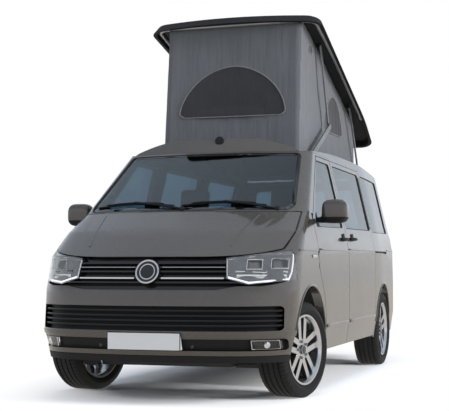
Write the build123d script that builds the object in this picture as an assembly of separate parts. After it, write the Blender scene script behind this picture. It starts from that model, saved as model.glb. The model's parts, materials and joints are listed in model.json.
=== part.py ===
from build123d import *

import math
import os
from collections import namedtuple

# Camper van with a lifting roof, tent and steered front wheels, in millimetres.
# X points forward, Y to the van's left and Z up. The origin is on the ground,
# below the middle of the whole van's box.

# Running gear
WHEELBASE = 3000
X_FRONT_AXLE = 1544
X_REAR_AXLE = X_FRONT_AXLE - WHEELBASE
HALF_TRACK = 820
TYRE_RADIUS = 343
TYRE_WIDTH = 245
RIM_RADIUS = 254
RIM_WIDTH = 214
HUB_BORE = 33
FRONT_ARCH = 455
REAR_ARCH = 432
STEER_REST = -14
KINGPIN_INSET = 160

# Body walls, panes and the gaps between panels
WALL = 60
DOOR_WALL = 52
FRAME_DEPTH = 42
SEAT_GAP = 0.3
SHUT_GAP = 6
LINE_GAP = 3
GLASS_INSET = 9
GLASS_THICK = 6
FAR = 3000

# Plan of the body at seven heights, lofted upwards. sag is how far the front
# falls back from the middle to the corner.
Section = namedtuple(
    "Section", "z_front z_rear x_front sag half_width half_rear x_rear r_front r_rear"
)
X_FRONT = 2446
X_REAR = -2452
Z_SILL = 290
Z_CREASE = 490
Z_BUMPER = 775
Z_BELT_FRONT = 1010
Z_BELT_REAR = 1095
Z_CROWN_FRONT = 1190
Z_CROWN_REAR = 1225
Z_COWL = 1345
Z_RIM = 1850
X_KINK = -1300
R_KINK = 6000
BODY = [
    Section(Z_SILL, Z_SILL, X_FRONT - 70, 180, 918, 860, X_REAR + 50, 440, 200),
    Section(Z_CREASE, Z_CREASE, X_FRONT, 190, 948, 884, X_REAR, 480, 230),
    Section(Z_BUMPER, Z_BUMPER, X_FRONT - 32, 190, 952, 888, X_REAR + 8, 480, 240),
    Section(Z_BELT_FRONT, Z_BELT_REAR, X_FRONT - 116, 190, 950, 884, X_REAR + 25, 480, 235),
    Section(Z_CROWN_FRONT, Z_CROWN_REAR, X_FRONT - 380, 222, 924, 861, X_REAR + 42, 370, 222),
    Section(Z_COWL, Z_COWL, X_FRONT - 686, 250, 891, 830, X_REAR + 65, 260, 210),
    Section(Z_RIM, Z_RIM, X_FRONT - 1441, 140, 775, 722, X_REAR + 160, 160, 150),
]


def outline(section, inset):
    """One plan outline of the body, moved in from the skin by inset."""
    nose = section.x_front - inset
    corner = (nose - section.sag, section.half_width - inset)
    kink = (X_KINK, section.half_width - inset)
    rear = (section.x_rear + inset, section.half_rear - inset)
    mirrored = [(x, -y) for x, y in (rear, kink, corner)]
    front = ThreePointArc(mirrored[2], (nose, 0), corner)
    sides = Polyline(corner, kink, rear, *mirrored)
    face = make_face(front.edges() + sides.edges()).face()
    for x, radius in (
        (corner[0], section.r_front - inset),
        (kink[0], R_KINK),
        (rear[0], section.r_rear - inset),
    ):
        picked = [v for v in face.vertices() if abs(v.X - x) < 1]
        face = face.fillet_2d(radius, picked)
    slope = (section.z_front - section.z_rear) / (section.x_front - section.x_rear)
    middle = section.z_front - slope * section.x_front
    return Plane((0, 0, middle), (1, 0, slope), (-slope, 0, 1)) * face


def hull(inset, reach=0):
    """The body's closed form inside the skin, its ends moved out by reach."""
    rows = list(BODY)
    if reach:
        low, high = rows[0], rows[-1]
        rows.insert(0, low._replace(z_front=low.z_front - reach, z_rear=low.z_rear - reach))
        rows.append(high._replace(z_front=high.z_front + reach, z_rear=high.z_rear + reach))
    return loft([outline(row, inset) for row in rows], ruled=True)


def side_prism(points, y_low, y_high, radius=0):
    """A prism across the van from an outline in side view."""
    corners = [(x, y_low, z) for x, z in points]
    if radius:
        line = FilletPolyline(*corners, radius=radius, close=True)
    else:
        line = Polyline(*corners, close=True)
    return extrude(make_face(line.edges()), amount=y_high - y_low, dir=(0, 1, 0))


def front_prism(points, x_low, x_high, radius=0):
    """A prism along the van from an outline in front view."""
    corners = [(x_low, y, z) for y, z in points]
    if radius:
        line = FilletPolyline(*corners, radius=radius, close=True)
    else:
        line = Polyline(*corners, close=True)
    return extrude(make_face(line.edges()), amount=x_high - x_low, dir=(1, 0, 0))


def block(x_low, x_high, y_low, y_high, z_low, z_high):
    """A box given by its limits."""
    centre = ((x_low + x_high) / 2, (y_low + y_high) / 2, (z_low + z_high) / 2)
    return Pos(*centre) * Box(x_high - x_low, y_high - y_low, z_high - z_low)


def rod_y(x, z, radius, y_low, y_high):
    """A round bar across the van."""
    bar = Cylinder(radius, y_high - y_low, rotation=(90, 0, 0))
    return Pos(x, (y_low + y_high) / 2, z) * bar


def rod_z(x, y, radius, z_low, z_high):
    """An upright round bar."""
    return Pos(x, y, (z_low + z_high) / 2) * Cylinder(radius, z_high - z_low)


def both_sides(shape):
    """A piece of the left side with its twin on the right."""
    return [shape, mirror(shape, about=Plane.XZ)]


def solids_of(*shapes):
    """All the solids of some shapes as one compound, each still its own solid."""
    found = []
    for shape in shapes:
        for item in shape if isinstance(shape, (list, tuple)) else [shape]:
            found.extend(item.solids())
    return Compound(found)


def keep_large(shape, share=0.02):
    """The shape without the crumbs that a cut leaves."""
    pieces = shape.solids()
    largest = max(piece.volume for piece in pieces)
    kept = [piece for piece in pieces if piece.volume > share * largest]
    return kept[0] if len(kept) == 1 else Compound(kept)


# The skin's main forms
OUTER = hull(0)
CABIN = hull(WALL, 40)
DOOR_INNER = hull(DOOR_WALL, 40)
FRAME_OUTER = hull(WALL + SEAT_GAP)
FRAME_INNER = hull(WALL + FRAME_DEPTH, 40)
PANE_INNER = hull(GLASS_INSET + GLASS_THICK, 40)
PANE_SHELL = hull(GLASS_INSET) - PANE_INNER
SHELL = OUTER - CABIN
DOOR_SHELL = OUTER - DOOR_INNER

# Wheel wells
WELL_INNER = 455
WELL_INNER_REAR = 640


def wells(grow=0):
    """The four wheel wells as cutters, widened by grow."""
    made = []
    for x, radius, inner in (
        (X_FRONT_AXLE, FRONT_ARCH, WELL_INNER),
        (X_REAR_AXLE, REAR_ARCH, WELL_INNER_REAR),
    ):
        made += both_sides(rod_y(x, TYRE_RADIUS, radius + grow, inner - grow, 1200))
    return made


WELLS = wells()

# Side openings: doors and windows in side view, front to rear
Z_DOOR_LOW = 305
Z_DOOR_TOP = 1832
X_B_POST = 212
X_C_POST = -985
DOOR_FRONT = [
    (1058, Z_DOOR_LOW),
    (1071, 572),
    (1130, 722),
    (1265, 890),
    (1292, 1057),
    (1322, 1285),
    (700, Z_DOOR_TOP),
]
Z_WINDOW_TOP = 1792
Z_WINDOW_LOW = 1258
WINDOW_CORNER = 38
FRONT_WINDOW = [
    (X_B_POST + 62, Z_WINDOW_LOW),
    (1222, Z_WINDOW_LOW - 18),
    (1240, 1290),
    (716, Z_WINDOW_TOP),
    (X_B_POST + 62, Z_WINDOW_TOP),
]


def window_box(x_front, x_rear):
    """A side window's outline between two posts."""
    return [
        (x_front, Z_WINDOW_LOW),
        (x_rear, Z_WINDOW_LOW + 14),
        (x_rear + 14, Z_WINDOW_TOP),
        (x_front, Z_WINDOW_TOP),
    ]


MIDDLE_WINDOW = window_box(X_B_POST - 52, X_C_POST + 46)
REAR_WINDOW = window_box(X_C_POST - 46, -2040)


def door_outline(gap):
    """The front door in side view, drawn in by gap at the shut lines."""
    rear = X_B_POST + gap
    front = [(x - 1.5 * gap, min(z, Z_DOOR_TOP - gap)) for x, z in DOOR_FRONT]
    return [(rear, Z_DOOR_LOW), *front, (rear, Z_DOOR_TOP - gap)]


def slider_outline(gap):
    """The sliding door in side view."""
    return [
        (X_C_POST + gap, Z_DOOR_LOW),
        (X_B_POST - gap, Z_DOOR_LOW),
        (X_B_POST - gap, Z_DOOR_TOP - gap),
        (X_C_POST + gap, Z_DOOR_TOP - gap),
    ]


def pane(points, y_low, y_high):
    """A pane that fills a window's outline, just clear of its edge."""
    return PANE_SHELL & side_prism(
        shrink(points, SEAT_GAP), y_low, y_high, WINDOW_CORNER - SEAT_GAP
    )


def shrink(points, gap):
    """A convex outline drawn in by gap towards its middle."""
    cx = sum(p[0] for p in points) / len(points)
    cy = sum(p[1] for p in points) / len(points)
    moved = []
    for x, y in points:
        reach = math.hypot(x - cx, y - cy)
        share = 1 - 1.6 * gap / reach
        moved.append((cx + (x - cx) * share, cy + (y - cy) * share))
    return moved


# Side panels and doors
HINGE_X = DOOR_FRONT[4][0]
HINGE_Y = 955
REBATE = 20
HINGE_PIN = 4
HINGE_SLEEVE = 6.5
HINGE_RUN = 0.1
HINGE_LENGTH = 34
HINGE_HEIGHTS = (945, 1042)
MIRROR_TIP = 1148.5
RAIL_Z = 1077
RAIL_HALF = 11
RAIL_REAR = -1700


def front_door(side):
    """A front door without its glass, its rear edge stepped so that it swings free."""
    y_low, y_high = (300, FAR) if side > 0 else (-FAR, -300)
    panel = DOOR_SHELL & side_prism(door_outline(SHUT_GAP), y_low, y_high)
    step = block(X_B_POST - 20, X_B_POST + SHUT_GAP + REBATE, y_low, y_high, 200, FAR)
    panel -= PANE_INNER & step
    panel -= side_prism(FRONT_WINDOW, y_low, y_high, WINDOW_CORNER)
    y = side * HINGE_Y
    for z in HINGE_HEIGHTS:
        low, high = z - HINGE_LENGTH / 2, z + HINGE_LENGTH / 2
        leaf = block(HINGE_X - 40, HINGE_X, *sorted((y - side * 7, y + side * 2)), low, high)
        sleeve = leaf + rod_z(HINGE_X, y, HINGE_SLEEVE, low, high)
        panel += sleeve - rod_z(HINGE_X, y, HINGE_PIN + HINGE_RUN, low - 5, high + 5)
    return keep_large(panel)


def hinge_pins(wing):
    """The left wing with the pins its door hangs on."""
    for z in HINGE_HEIGHTS:
        low, high = z - HINGE_LENGTH / 2, z + HINGE_LENGTH / 2
        notch = rod_z(HINGE_X, HINGE_Y, HINGE_SLEEVE + SHUT_GAP, low - 2, high + 2)
        notch += block(HINGE_X - 60, HINGE_X, HINGE_Y - 14, HINGE_Y + 20, low - 2, high + 2)
        wing -= notch
        for z_end in (low - 10, high + 2):
            wing += block(HINGE_X - 6, HINGE_X + 20, HINGE_Y - 22, HINGE_Y + 4, z_end, z_end + 8)
        wing += rod_z(HINGE_X, HINGE_Y, HINGE_PIN, low - 8, high + 8)
    return wing


def door_mirror():
    """The left door mirror: a rounded case on a foot at the window's front corner."""
    case = block(1136, 1256, 950, MIRROR_TIP, 1266, 1446)
    case = fillet(case.edges().filter_by(Axis.X), 58)
    case = fillet(case.faces().sort_by(Axis.X)[-1].edges(), 34)
    foot = block(1160, 1236, 850, 1010, 1270, 1312)
    return keep_large(case + foot - OUTER)


def side_panel(side):
    """The fixed side behind the doors, with its windows and wheel arch cut."""
    y_low, y_high = (300, FAR) if side > 0 else (-FAR, -300)
    front = X_C_POST if side > 0 else X_B_POST
    panel = SHELL & block(X_REAR - 10, front, y_low, y_high, Z_SILL, Z_RIM)
    if side > 0:
        panel += SHELL & block(front, X_B_POST, y_low, y_high, Z_DOOR_TOP, Z_RIM)
        rail = block(RAIL_REAR, front + 10, y_low, y_high, RAIL_Z - RAIL_HALF, RAIL_Z + RAIL_HALF)
        panel -= rail - PANE_INNER
    panel -= TAIL_CUT
    panel -= REAR_BUMPER_CUT
    panel -= LAMP_CUTS
    for well in WELLS:
        panel -= well
    panel -= side_prism(REAR_WINDOW, y_low, y_high, WINDOW_CORNER)
    if side < 0:
        panel -= side_prism(MIDDLE_WINDOW, y_low, y_high, WINDOW_CORNER)
    return keep_large(panel)


def sliding_door():
    """The left sliding door, closed."""
    panel = SHELL & side_prism(slider_outline(LINE_GAP), 300, FAR)
    panel -= side_prism(MIDDLE_WINDOW, 300, FAR, WINDOW_CORNER)
    return keep_large(panel)


# Tail
TAIL_HINGE_X = X_REAR + 158
TAIL_HINGE_Z = Z_RIM - 4
TAIL_LOW = 560
TAIL_HALF_LOW = 778
TAIL_HALF_TOP = 690
TAIL_DEPTH = 330
TAIL_GLASS_LOW = 1190
TAIL_GLASS_TOP = 1745
TAIL_LAMP_LOW = 985
TAIL_LAMP_TOP = 1450


def tail_outline(gap):
    """The tailgate in rear view."""
    top = Z_RIM - gap
    return [
        (-TAIL_HALF_LOW + gap, TAIL_LOW + gap),
        (TAIL_HALF_LOW - gap, TAIL_LOW + gap),
        (TAIL_HALF_LOW - gap, 1130),
        (TAIL_HALF_TOP - gap, top),
        (-TAIL_HALF_TOP + gap, top),
        (-TAIL_HALF_LOW + gap, 1130),
    ]


TAIL_WINDOW = [
    (-640, TAIL_GLASS_LOW),
    (640, TAIL_GLASS_LOW),
    (585, TAIL_GLASS_TOP),
    (-585, TAIL_GLASS_TOP),
]
TAIL_CUT = front_prism(tail_outline(0), X_REAR - 20, X_REAR + TAIL_DEPTH)
REAR_BUMPER_OUTLINE = [
    (X_REAR - 20, 200),
    (X_REAR - 20, TAIL_LOW),
    (X_REAR + 250, TAIL_LOW),
    (X_REAR + 480, 470),
    (X_REAR + 480, 200),
]
REAR_BUMPER_CUT = side_prism(REAR_BUMPER_OUTLINE, -FAR, FAR)
TAIL_LAMP_OUTLINE = [
    (TAIL_HALF_LOW + LINE_GAP, TAIL_LAMP_LOW),
    (FAR, TAIL_LAMP_LOW),
    (FAR, TAIL_LAMP_TOP),
    (TAIL_HALF_LOW - 52, TAIL_LAMP_TOP),
    (TAIL_HALF_LOW + LINE_GAP, 1150),
]
LAMP_CUTS = solids_of(both_sides(front_prism(TAIL_LAMP_OUTLINE, X_REAR - 20, X_REAR + 190)))


def tailgate():
    """The tailgate, hung from its top edge, with its window cut."""
    panel = DOOR_SHELL & front_prism(tail_outline(SHUT_GAP), X_REAR - 20, X_REAR + TAIL_DEPTH)
    panel -= front_prism(TAIL_WINDOW, X_REAR - 20, X_REAR + TAIL_DEPTH, 60)
    return keep_large(panel)


def tailgate_glass():
    """The tailgate's pane."""
    cut = front_prism(
        shrink(TAIL_WINDOW, SEAT_GAP), X_REAR - 20, X_REAR + TAIL_DEPTH, 60 - SEAT_GAP
    )
    return keep_large(PANE_SHELL & cut)


def tail_lamps():
    """Both tail lamps in the rear corners."""
    cut = front_prism(TAIL_LAMP_OUTLINE, X_REAR - 20, X_REAR + 190)
    lamp = (SHELL & cut) - front_prism(tail_outline(0), X_REAR - 20, X_REAR + TAIL_DEPTH)
    return solids_of(both_sides(keep_large(lamp, 0.2)))


def rear_bumper():
    """The rear bumper, from one rear arch round to the other."""
    panel = SHELL & REAR_BUMPER_CUT
    for well in WELLS:
        panel -= well
    return keep_large(panel)


# Front end
Z_BONNET_LIP = 1000
BONNET_HINGE = (1485, Z_COWL)
BONNET_EDGE = [
    (FAR, Z_BONNET_LIP),
    (2300, Z_BONNET_LIP),
    (1990, 1060),
    (1478, Z_COWL - SHUT_GAP),
    (FAR, Z_COWL - SHUT_GAP),
]
LAMP_HALF_INNER = 548
LAMP_X_REAR = 1938
LAMP_OUTLINE = [
    (LAMP_HALF_INNER - 16, Z_BONNET_LIP),
    (1100, 1082),
    (1100, 868),
    (900, 842),
    (690, 818),
    (LAMP_HALF_INNER, 858),
]
BUMPER_TOP = 806
BUMPER_OUTLINE = [
    (FAR, 200),
    (FAR, BUMPER_TOP),
    (2240, BUMPER_TOP),
    (LAMP_X_REAR, 862),
    (1920, 720),
    (1920, 200),
]
GRILLE_HALF = [
    (480, 782),
    LAMP_OUTLINE[4],
    LAMP_OUTLINE[5],
    LAMP_OUTLINE[0],
]
GRILLE_OUTLINE = GRILLE_HALF + [(-y, z) for y, z in reversed(GRILLE_HALF)]
GRILLE_SLATS = (832, 861, 906, 935, 963)
LOWER_GRILLE = [(-896, 506), (896, 506), (896, 672), (-896, 672)]
LOWER_SLATS = (540, 573, 606, 640)
FOG_SLOT = [(-910, 372), (910, 372), (910, 452), (-910, 452)]
FOG_HALF_INNER = 706
FOG_HALF_OUTER = 872
LEDGE = 6
LEDGE_LOW = 464
LEDGE_TOP = 500
LAMP_CELLS = [(672, 757, 924, 981), (813, 893, 930, 987)]
VALANCE_TOP = 338
PLATE_HALF = 260
PLATE_LOW = 379
PLATE_TOP = 491
EMBLEM_RADIUS = 86
EMBLEM_Z = 903


def bonnet():
    """The bonnet, hung from its rear edge at the windscreen."""
    edge = [
        (FAR, Z_BONNET_LIP + SHUT_GAP),
        (2300, Z_BONNET_LIP + SHUT_GAP),
        (2002, 1060 + SHUT_GAP),
        BONNET_HINGE,
        (FAR, Z_COWL),
    ]
    panel = DOOR_SHELL & side_prism(edge, -FAR, FAR)
    screen_foot = extrude(outline(BODY[5], -SHUT_GAP), amount=500, both=True)
    return keep_large(panel - screen_foot)


def wings():
    """Both front wings, between bumper, lamp, bonnet and door."""
    zone = [
        (FAR, 200),
        (FAR, 1200),
        (1478, Z_COWL - SHUT_GAP),
        (DOOR_FRONT[5][0], Z_COWL - SHUT_GAP),
        *reversed(DOOR_FRONT[:6]),
        (DOOR_FRONT[0][0], 200),
    ]
    panel = SHELL & side_prism(zone, 300, FAR)
    panel -= side_prism(BONNET_EDGE, 300, FAR)
    panel -= side_prism(BUMPER_OUTLINE, 300, FAR)
    panel -= front_prism(LAMP_OUTLINE, LAMP_X_REAR, FAR)
    panel -= front_prism(GRILLE_OUTLINE, LAMP_X_REAR, FAR)
    panel -= block(2100, FAR, 300, FAR, 200, FAR)
    for well in WELLS:
        panel -= well
    return solids_of(both_sides(hinge_pins(keep_large(panel, 0.08))))


def front_bumper():
    """The front bumper with its grille mouth and lamp slot cut."""
    panel = SHELL & side_prism(BUMPER_OUTLINE, -FAR, FAR)
    ledge = (hull(-LEDGE) - CABIN) & block(1950, FAR, PLATE_HALF + LINE_GAP, FAR, LEDGE_LOW, LEDGE_TOP)
    for half in both_sides(ledge):
        panel += half
    panel -= front_prism(GRILLE_OUTLINE, LAMP_X_REAR, FAR)
    panel -= solids_of(both_sides(front_prism(LAMP_OUTLINE, LAMP_X_REAR, FAR)))
    panel -= front_prism(LOWER_GRILLE, LAMP_X_REAR, FAR, 26)
    panel -= front_prism(FOG_SLOT, LAMP_X_REAR, FAR, 22)
    panel -= block(1900, FAR, -FAR, FAR, 200, VALANCE_TOP)
    for well in WELLS:
        panel -= well
    return keep_large(panel)


def front_valance():
    """The dark lip below the front bumper."""
    panel = SHELL & block(1930, FAR, -FAR, FAR, 200, VALANCE_TOP - LINE_GAP)
    for well in WELLS:
        panel -= well
    return keep_large(panel)


def slatted(zone, back_inset, slat_inset, heights, thickness):
    """A dark back panel with level slats before it that follow the nose."""
    grille = zone & (hull(back_inset) - CABIN)
    bars = zone & (hull(slat_inset) - CABIN)
    for z in heights:
        grille += bars & block(1900, FAR, -FAR, FAR, z - thickness / 2, z + thickness / 2)
    return grille


def upper_grille():
    """The slatted grille between the lamps, with its round blank."""
    zone = front_prism(GRILLE_OUTLINE, LAMP_X_REAR, FAR)
    grille = slatted(zone, 42, 6, GRILLE_SLATS, 11)
    disc = Pos(2300, 0, EMBLEM_Z) * Cylinder(EMBLEM_RADIUS, 400, rotation=(0, 90, 0))
    grille += disc & SHELL
    return keep_large(grille)


def lower_grille():
    """The slatted mouth of the bumper."""
    zone = front_prism(shrink_box(LOWER_GRILLE), LAMP_X_REAR, FAR, 26)
    return keep_large(slatted(zone, 44, 12, LOWER_SLATS, 11))


def shrink_box(points):
    """A mouth's outline, just clear of its edge."""
    return [(y - math.copysign(SEAT_GAP, y), z) for y, z in points]


def fog_band():
    """The dark band low in the bumper."""
    zone = front_prism(shrink_box(FOG_SLOT), LAMP_X_REAR, FAR, 22)
    return keep_large(zone & (hull(26) - CABIN))


def fog_lamps():
    """The two fog lamps at the ends of the dark band."""
    zone = front_prism(
        [
            (FOG_HALF_INNER, 380),
            (FOG_HALF_OUTER, 380),
            (FOG_HALF_OUTER, 446),
            (FOG_HALF_INNER, 446),
        ],
        LAMP_X_REAR,
        FAR,
        8,
    )
    return solids_of(both_sides(zone & (hull(10) - hull(26, 40))))


def number_plate():
    """The blank number plate on its holder."""
    plate = block(2380, -X_REAR, -PLATE_HALF, PLATE_HALF, PLATE_LOW, PLATE_TOP)
    return keep_large(plate - OUTER - fog_band())


def lamp_zone():
    """The left headlamp's place in the nose."""
    zone = front_prism(LAMP_OUTLINE, LAMP_X_REAR + LINE_GAP, FAR)
    zone -= side_prism(BONNET_EDGE, 300, FAR)
    return zone


def headlamp_lenses():
    """The clear covers of both headlamps."""
    cover = lamp_zone() & (OUTER - hull(8, 40))
    return solids_of(both_sides(keep_large(cover, 0.2)))


def headlamp_bowls():
    """The dark bowls behind the covers, with two lamp cells each."""
    bowl = lamp_zone() & (hull(8 + SEAT_GAP) - CABIN)
    front = OUTER - hull(34, 40)
    for y_low, y_high, z_low, z_high in LAMP_CELLS:
        corners = [(y_low, z_low), (y_high, z_low), (y_high, z_high), (y_low, z_high)]
        bowl -= front_prism(corners, LAMP_X_REAR, FAR, 16) & front
    return solids_of(both_sides(keep_large(bowl, 0.2)))


# Roof: the fixed frame, the lid that lifts and the arms that carry it
ROOF_CREST_X = -700
ROOF_CREST_Z = 1915
ROOF_ARCH = 20000
ROOF_DECK = 1864
LIP_INNER = 712
LID_FRONT = 873
LID_REAR = -1916
LID_HALF = 776
LID_WALL = 28
LID_TOP = 1990
LID_GAP = 8
OPENING_FRONT = 430
OPENING_REAR = -1650
OPENING_HALF = 545
CAP_REAR = 886
CAP_TOP = 1962
ROOF_TOP = Section(1975, 1975, 905, 110, 716, 670, X_REAR + 205, 120, 120)


def arch_z(x, lift=0):
    """Height of the roof's arch above the point x."""
    return ROOF_CREST_Z + lift - (x - ROOF_CREST_X) ** 2 / (2 * ROOF_ARCH)


def arch_prism(lift, x_rear, x_front, z_low):
    """Everything between z_low and the roof's arch."""
    left = (x_rear, 0, arch_z(x_rear, lift))
    right = (x_front, 0, arch_z(x_front, lift))
    crest = (ROOF_CREST_X, 0, arch_z(ROOF_CREST_X, lift))
    top = ThreePointArc(left, crest, right)
    rest = Polyline(right, (x_front, 0, z_low), (x_rear, 0, z_low), left)
    face = make_face(top.edges() + rest.edges())
    return Pos(0, -FAR / 2, 0) * extrude(face, amount=FAR, dir=(0, 1, 0))


def roof_frame():
    """The fixed roof: a rim round the sleeping hatch, with the cap at the front."""
    form = loft([outline(BODY[-1], 0), outline(ROOF_TOP, 0)], ruled=True)
    rim = form & arch_prism(0, X_REAR, CAP_REAR, Z_RIM)
    lane = block(LID_REAR - 20, CAP_REAR, -LIP_INNER, LIP_INNER, ROOF_DECK, FAR)
    rim -= lane
    cap = form & side_prism(
        [
            (CAP_REAR, Z_RIM),
            (1100, Z_RIM),
            (1000, 1866),
            (CAP_REAR + 46, CAP_TOP),
            (CAP_REAR, CAP_TOP),
        ],
        -FAR,
        FAR,
    )
    hatch = block(OPENING_REAR, OPENING_FRONT, -OPENING_HALF, OPENING_HALF, 1800, FAR)
    return keep_large(rim + cap - hatch)


# The folding geometry, with the roof closed. Pairs are (x, z).
LANE_Y = 640
ARM_THICK = 14
ARM_DEPTH = 26
ARM_PIN = 7
Z_FOOT = 1887
Z_CARRY = 1925
LIFT_FOOT = (-1740, Z_FOOT)
LIFT_LENGTH = 722
LIFT_ANGLE = 55.4
LID_TILT = 17.8
STAY_LENGTH = 735
STAY_X = 263


def turn(point, centre, degrees):
    """A point (x, z) turned about a centre, forward end upwards."""
    c, s = math.cos(math.radians(degrees)), math.sin(math.radians(degrees))
    dx, dz = point[0] - centre[0], point[1] - centre[1]
    return (centre[0] + dx * c - dz * s, centre[1] + dx * s + dz * c)


def elbow(low, high, length):
    """Where two equal arms from low and high meet, behind the line between them."""
    dx, dz = high[0] - low[0], high[1] - low[1]
    reach = math.hypot(dx, dz)
    rise = math.sqrt(length**2 - (reach / 2) ** 2)
    return ((low[0] + high[0]) / 2 - rise * dz / reach, (low[1] + high[1]) / 2 + rise * dx / reach)


def heading(start, end):
    """The direction from start to end in degrees, forward end upwards."""
    return math.degrees(math.atan2(end[1] - start[1], end[0] - start[0]))


LIFT_CLOSED_ANGLE = math.degrees(math.asin((Z_CARRY - Z_FOOT) / LIFT_LENGTH))
LIFT_HEAD_CLOSED = turn((LIFT_FOOT[0] + LIFT_LENGTH, Z_FOOT), LIFT_FOOT, LIFT_CLOSED_ANGLE)
LIFT_HEAD = turn((LIFT_FOOT[0] + LIFT_LENGTH, Z_FOOT), LIFT_FOOT, LIFT_ANGLE)
STAY_FOOT = (STAY_X, Z_FOOT)
STAY_HEAD_CLOSED = (STAY_X, Z_CARRY)


def raised(point):
    """A point of the closed lid (x, z), where it stands with the roof up."""
    moved = (
        point[0] + LIFT_HEAD[0] - LIFT_HEAD_CLOSED[0],
        point[1] + LIFT_HEAD[1] - LIFT_HEAD_CLOSED[1],
    )
    return turn(moved, LIFT_HEAD, LID_TILT)


STAY_HEAD = raised(STAY_HEAD_CLOSED)
STAY_ELBOW = elbow(STAY_FOOT, STAY_HEAD, STAY_LENGTH)
STAY_ELBOW_CLOSED = elbow(STAY_FOOT, STAY_HEAD_CLOSED, STAY_LENGTH)


def lid_up(shape):
    """A solid of the closed lid, moved to where it stands with the roof up."""
    dx = LIFT_HEAD[0] - LIFT_HEAD_CLOSED[0]
    dz = LIFT_HEAD[1] - LIFT_HEAD_CLOSED[1]
    axis = Axis((LIFT_HEAD[0], 0, LIFT_HEAD[1]), (0, -1, 0))
    return (Pos(dx, 0, dz) * shape).rotate(axis, LID_TILT)


LID_LOW = Section(1850, 1850, LID_FRONT, 70, LID_HALF, LID_HALF - 40, LID_REAR, 150, 150)
LID_HIGH = Section(2000, 2000, LID_FRONT - 60, 70, LID_HALF - 70, LID_HALF - 110, LID_REAR + 70, 130, 130)


def lid_form(inset):
    """The lid's tapering form, moved in from its skin by inset."""
    return loft([outline(row, inset) for row in (LID_LOW, LID_HIGH)], ruled=True)


def roof_lid():
    """The lifting lid, a shallow tray open below, with its four arm pins."""
    span = (LID_REAR - 20, LID_FRONT + 20)
    rise = LID_TOP - ROOF_CREST_Z
    tray = lid_form(0) & arch_prism(rise, *span, 1800)
    tray -= arch_prism(LID_GAP, *span, 1700)
    tray -= lid_form(LID_WALL) & arch_prism(rise - LID_WALL, *span, 1800)
    for head, inner in ((LIFT_HEAD_CLOSED, 0), (STAY_HEAD_CLOSED, 1)):
        lane = LANE_Y - inner * (ARM_THICK + 1)
        ear = block(head[0] - 22, head[0] + 22, lane - 22, lane - 8, head[1] - 16, LID_TOP - LID_WALL)
        pin = rod_y(head[0], head[1], ARM_PIN, lane - 12, lane + 12)
        for piece in both_sides(ear + pin):
            tray += piece & arch_prism(rise - 4, *span, 1800)
    return lid_up(keep_large(tray))


def arm(start, end, lane, holes):
    """A flat arm in a lane, between two pivots."""
    length = math.hypot(end[0] - start[0], end[1] - start[1])
    bar = Box(length, ARM_THICK, ARM_DEPTH)
    for x in (-length / 2, length / 2):
        bar += Pos(x, 0, 0) * Cylinder(ARM_DEPTH / 2, ARM_THICK, rotation=(90, 0, 0))
    for x, open_end in zip((-length / 2, length / 2), holes):
        if open_end:
            bar -= Pos(x, 0, 0) * Cylinder(ARM_PIN + 0.1, 60, rotation=(90, 0, 0))
    middle = ((start[0] + end[0]) / 2, lane, (start[1] + end[1]) / 2)
    return Pos(*middle) * Rot(0, -heading(start, end), 0) * bar


def lift_arms():
    """The rear lifting arms, one each side."""
    bar = arm(LIFT_FOOT, LIFT_HEAD, LANE_Y, (True, True))
    return solids_of(both_sides(bar))


def lower_stays():
    """The lower halves of the folding front stays."""
    bar = arm(STAY_FOOT, STAY_ELBOW, LANE_Y + ARM_THICK + 1, (True, False))
    return solids_of(both_sides(bar))


def upper_stays():
    """The upper halves of the folding front stays."""
    bar = arm(STAY_HEAD, STAY_ELBOW, LANE_Y - 1, (True, False))
    return solids_of(both_sides(bar))


def arm_feet():
    """The brackets and pins on the roof frame that the arms turn on."""
    made = []
    for foot, lane in ((LIFT_FOOT, LANE_Y), (STAY_FOOT, LANE_Y + ARM_THICK + 1)):
        ear = block(foot[0] - 24, foot[0] + 24, lane - 26, lane - 8, ROOF_DECK, foot[1] + 14)
        pin = rod_y(foot[0], foot[1], ARM_PIN, lane - 14, lane + 10)
        made += both_sides(ear + pin)
    return solids_of(made)


# Tent
TENT_FRONT = 500
TENT_REAR = -1760
TENT_HALF = 590
TENT_WALL = 10
TENT_LEAN = 122


def tent():
    """The cloth walls between the roof frame and the lid."""
    gap = raised((LID_FRONT, arch_z(LID_FRONT, 0)))
    front_top = raised((LID_FRONT - 60, arch_z(LID_FRONT - 60, 60)))
    low, high = ROOF_DECK, front_top[1]
    profile = [
        (TENT_REAR, low),
        (TENT_FRONT, low),
        (gap[0] - TENT_LEAN, high),
        (TENT_REAR, high),
    ]
    walls = side_prism(profile, -TENT_HALF, TENT_HALF)
    inner = [
        (TENT_REAR + TENT_WALL, low - 5),
        (TENT_FRONT - TENT_WALL, low - 5),
        (gap[0] - TENT_LEAN - TENT_WALL, high + 5),
        (TENT_REAR + TENT_WALL, high + 5),
    ]
    walls -= side_prism(inner, -TENT_HALF + TENT_WALL, TENT_HALF - TENT_WALL)
    span = (LID_REAR - 20, LID_FRONT + 20)
    rise = LID_TOP - ROOF_CREST_Z
    roof = arch_prism(rise - LID_WALL - SEAT_GAP, *span, -500)
    return keep_large(walls & lid_up(roof))


# Cab frame: windscreen posts, header and the inner posts that panels seat on
SCREEN = [(-822, 1352), (822, 1352), (716, 1836), (-716, 1836)]


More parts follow.
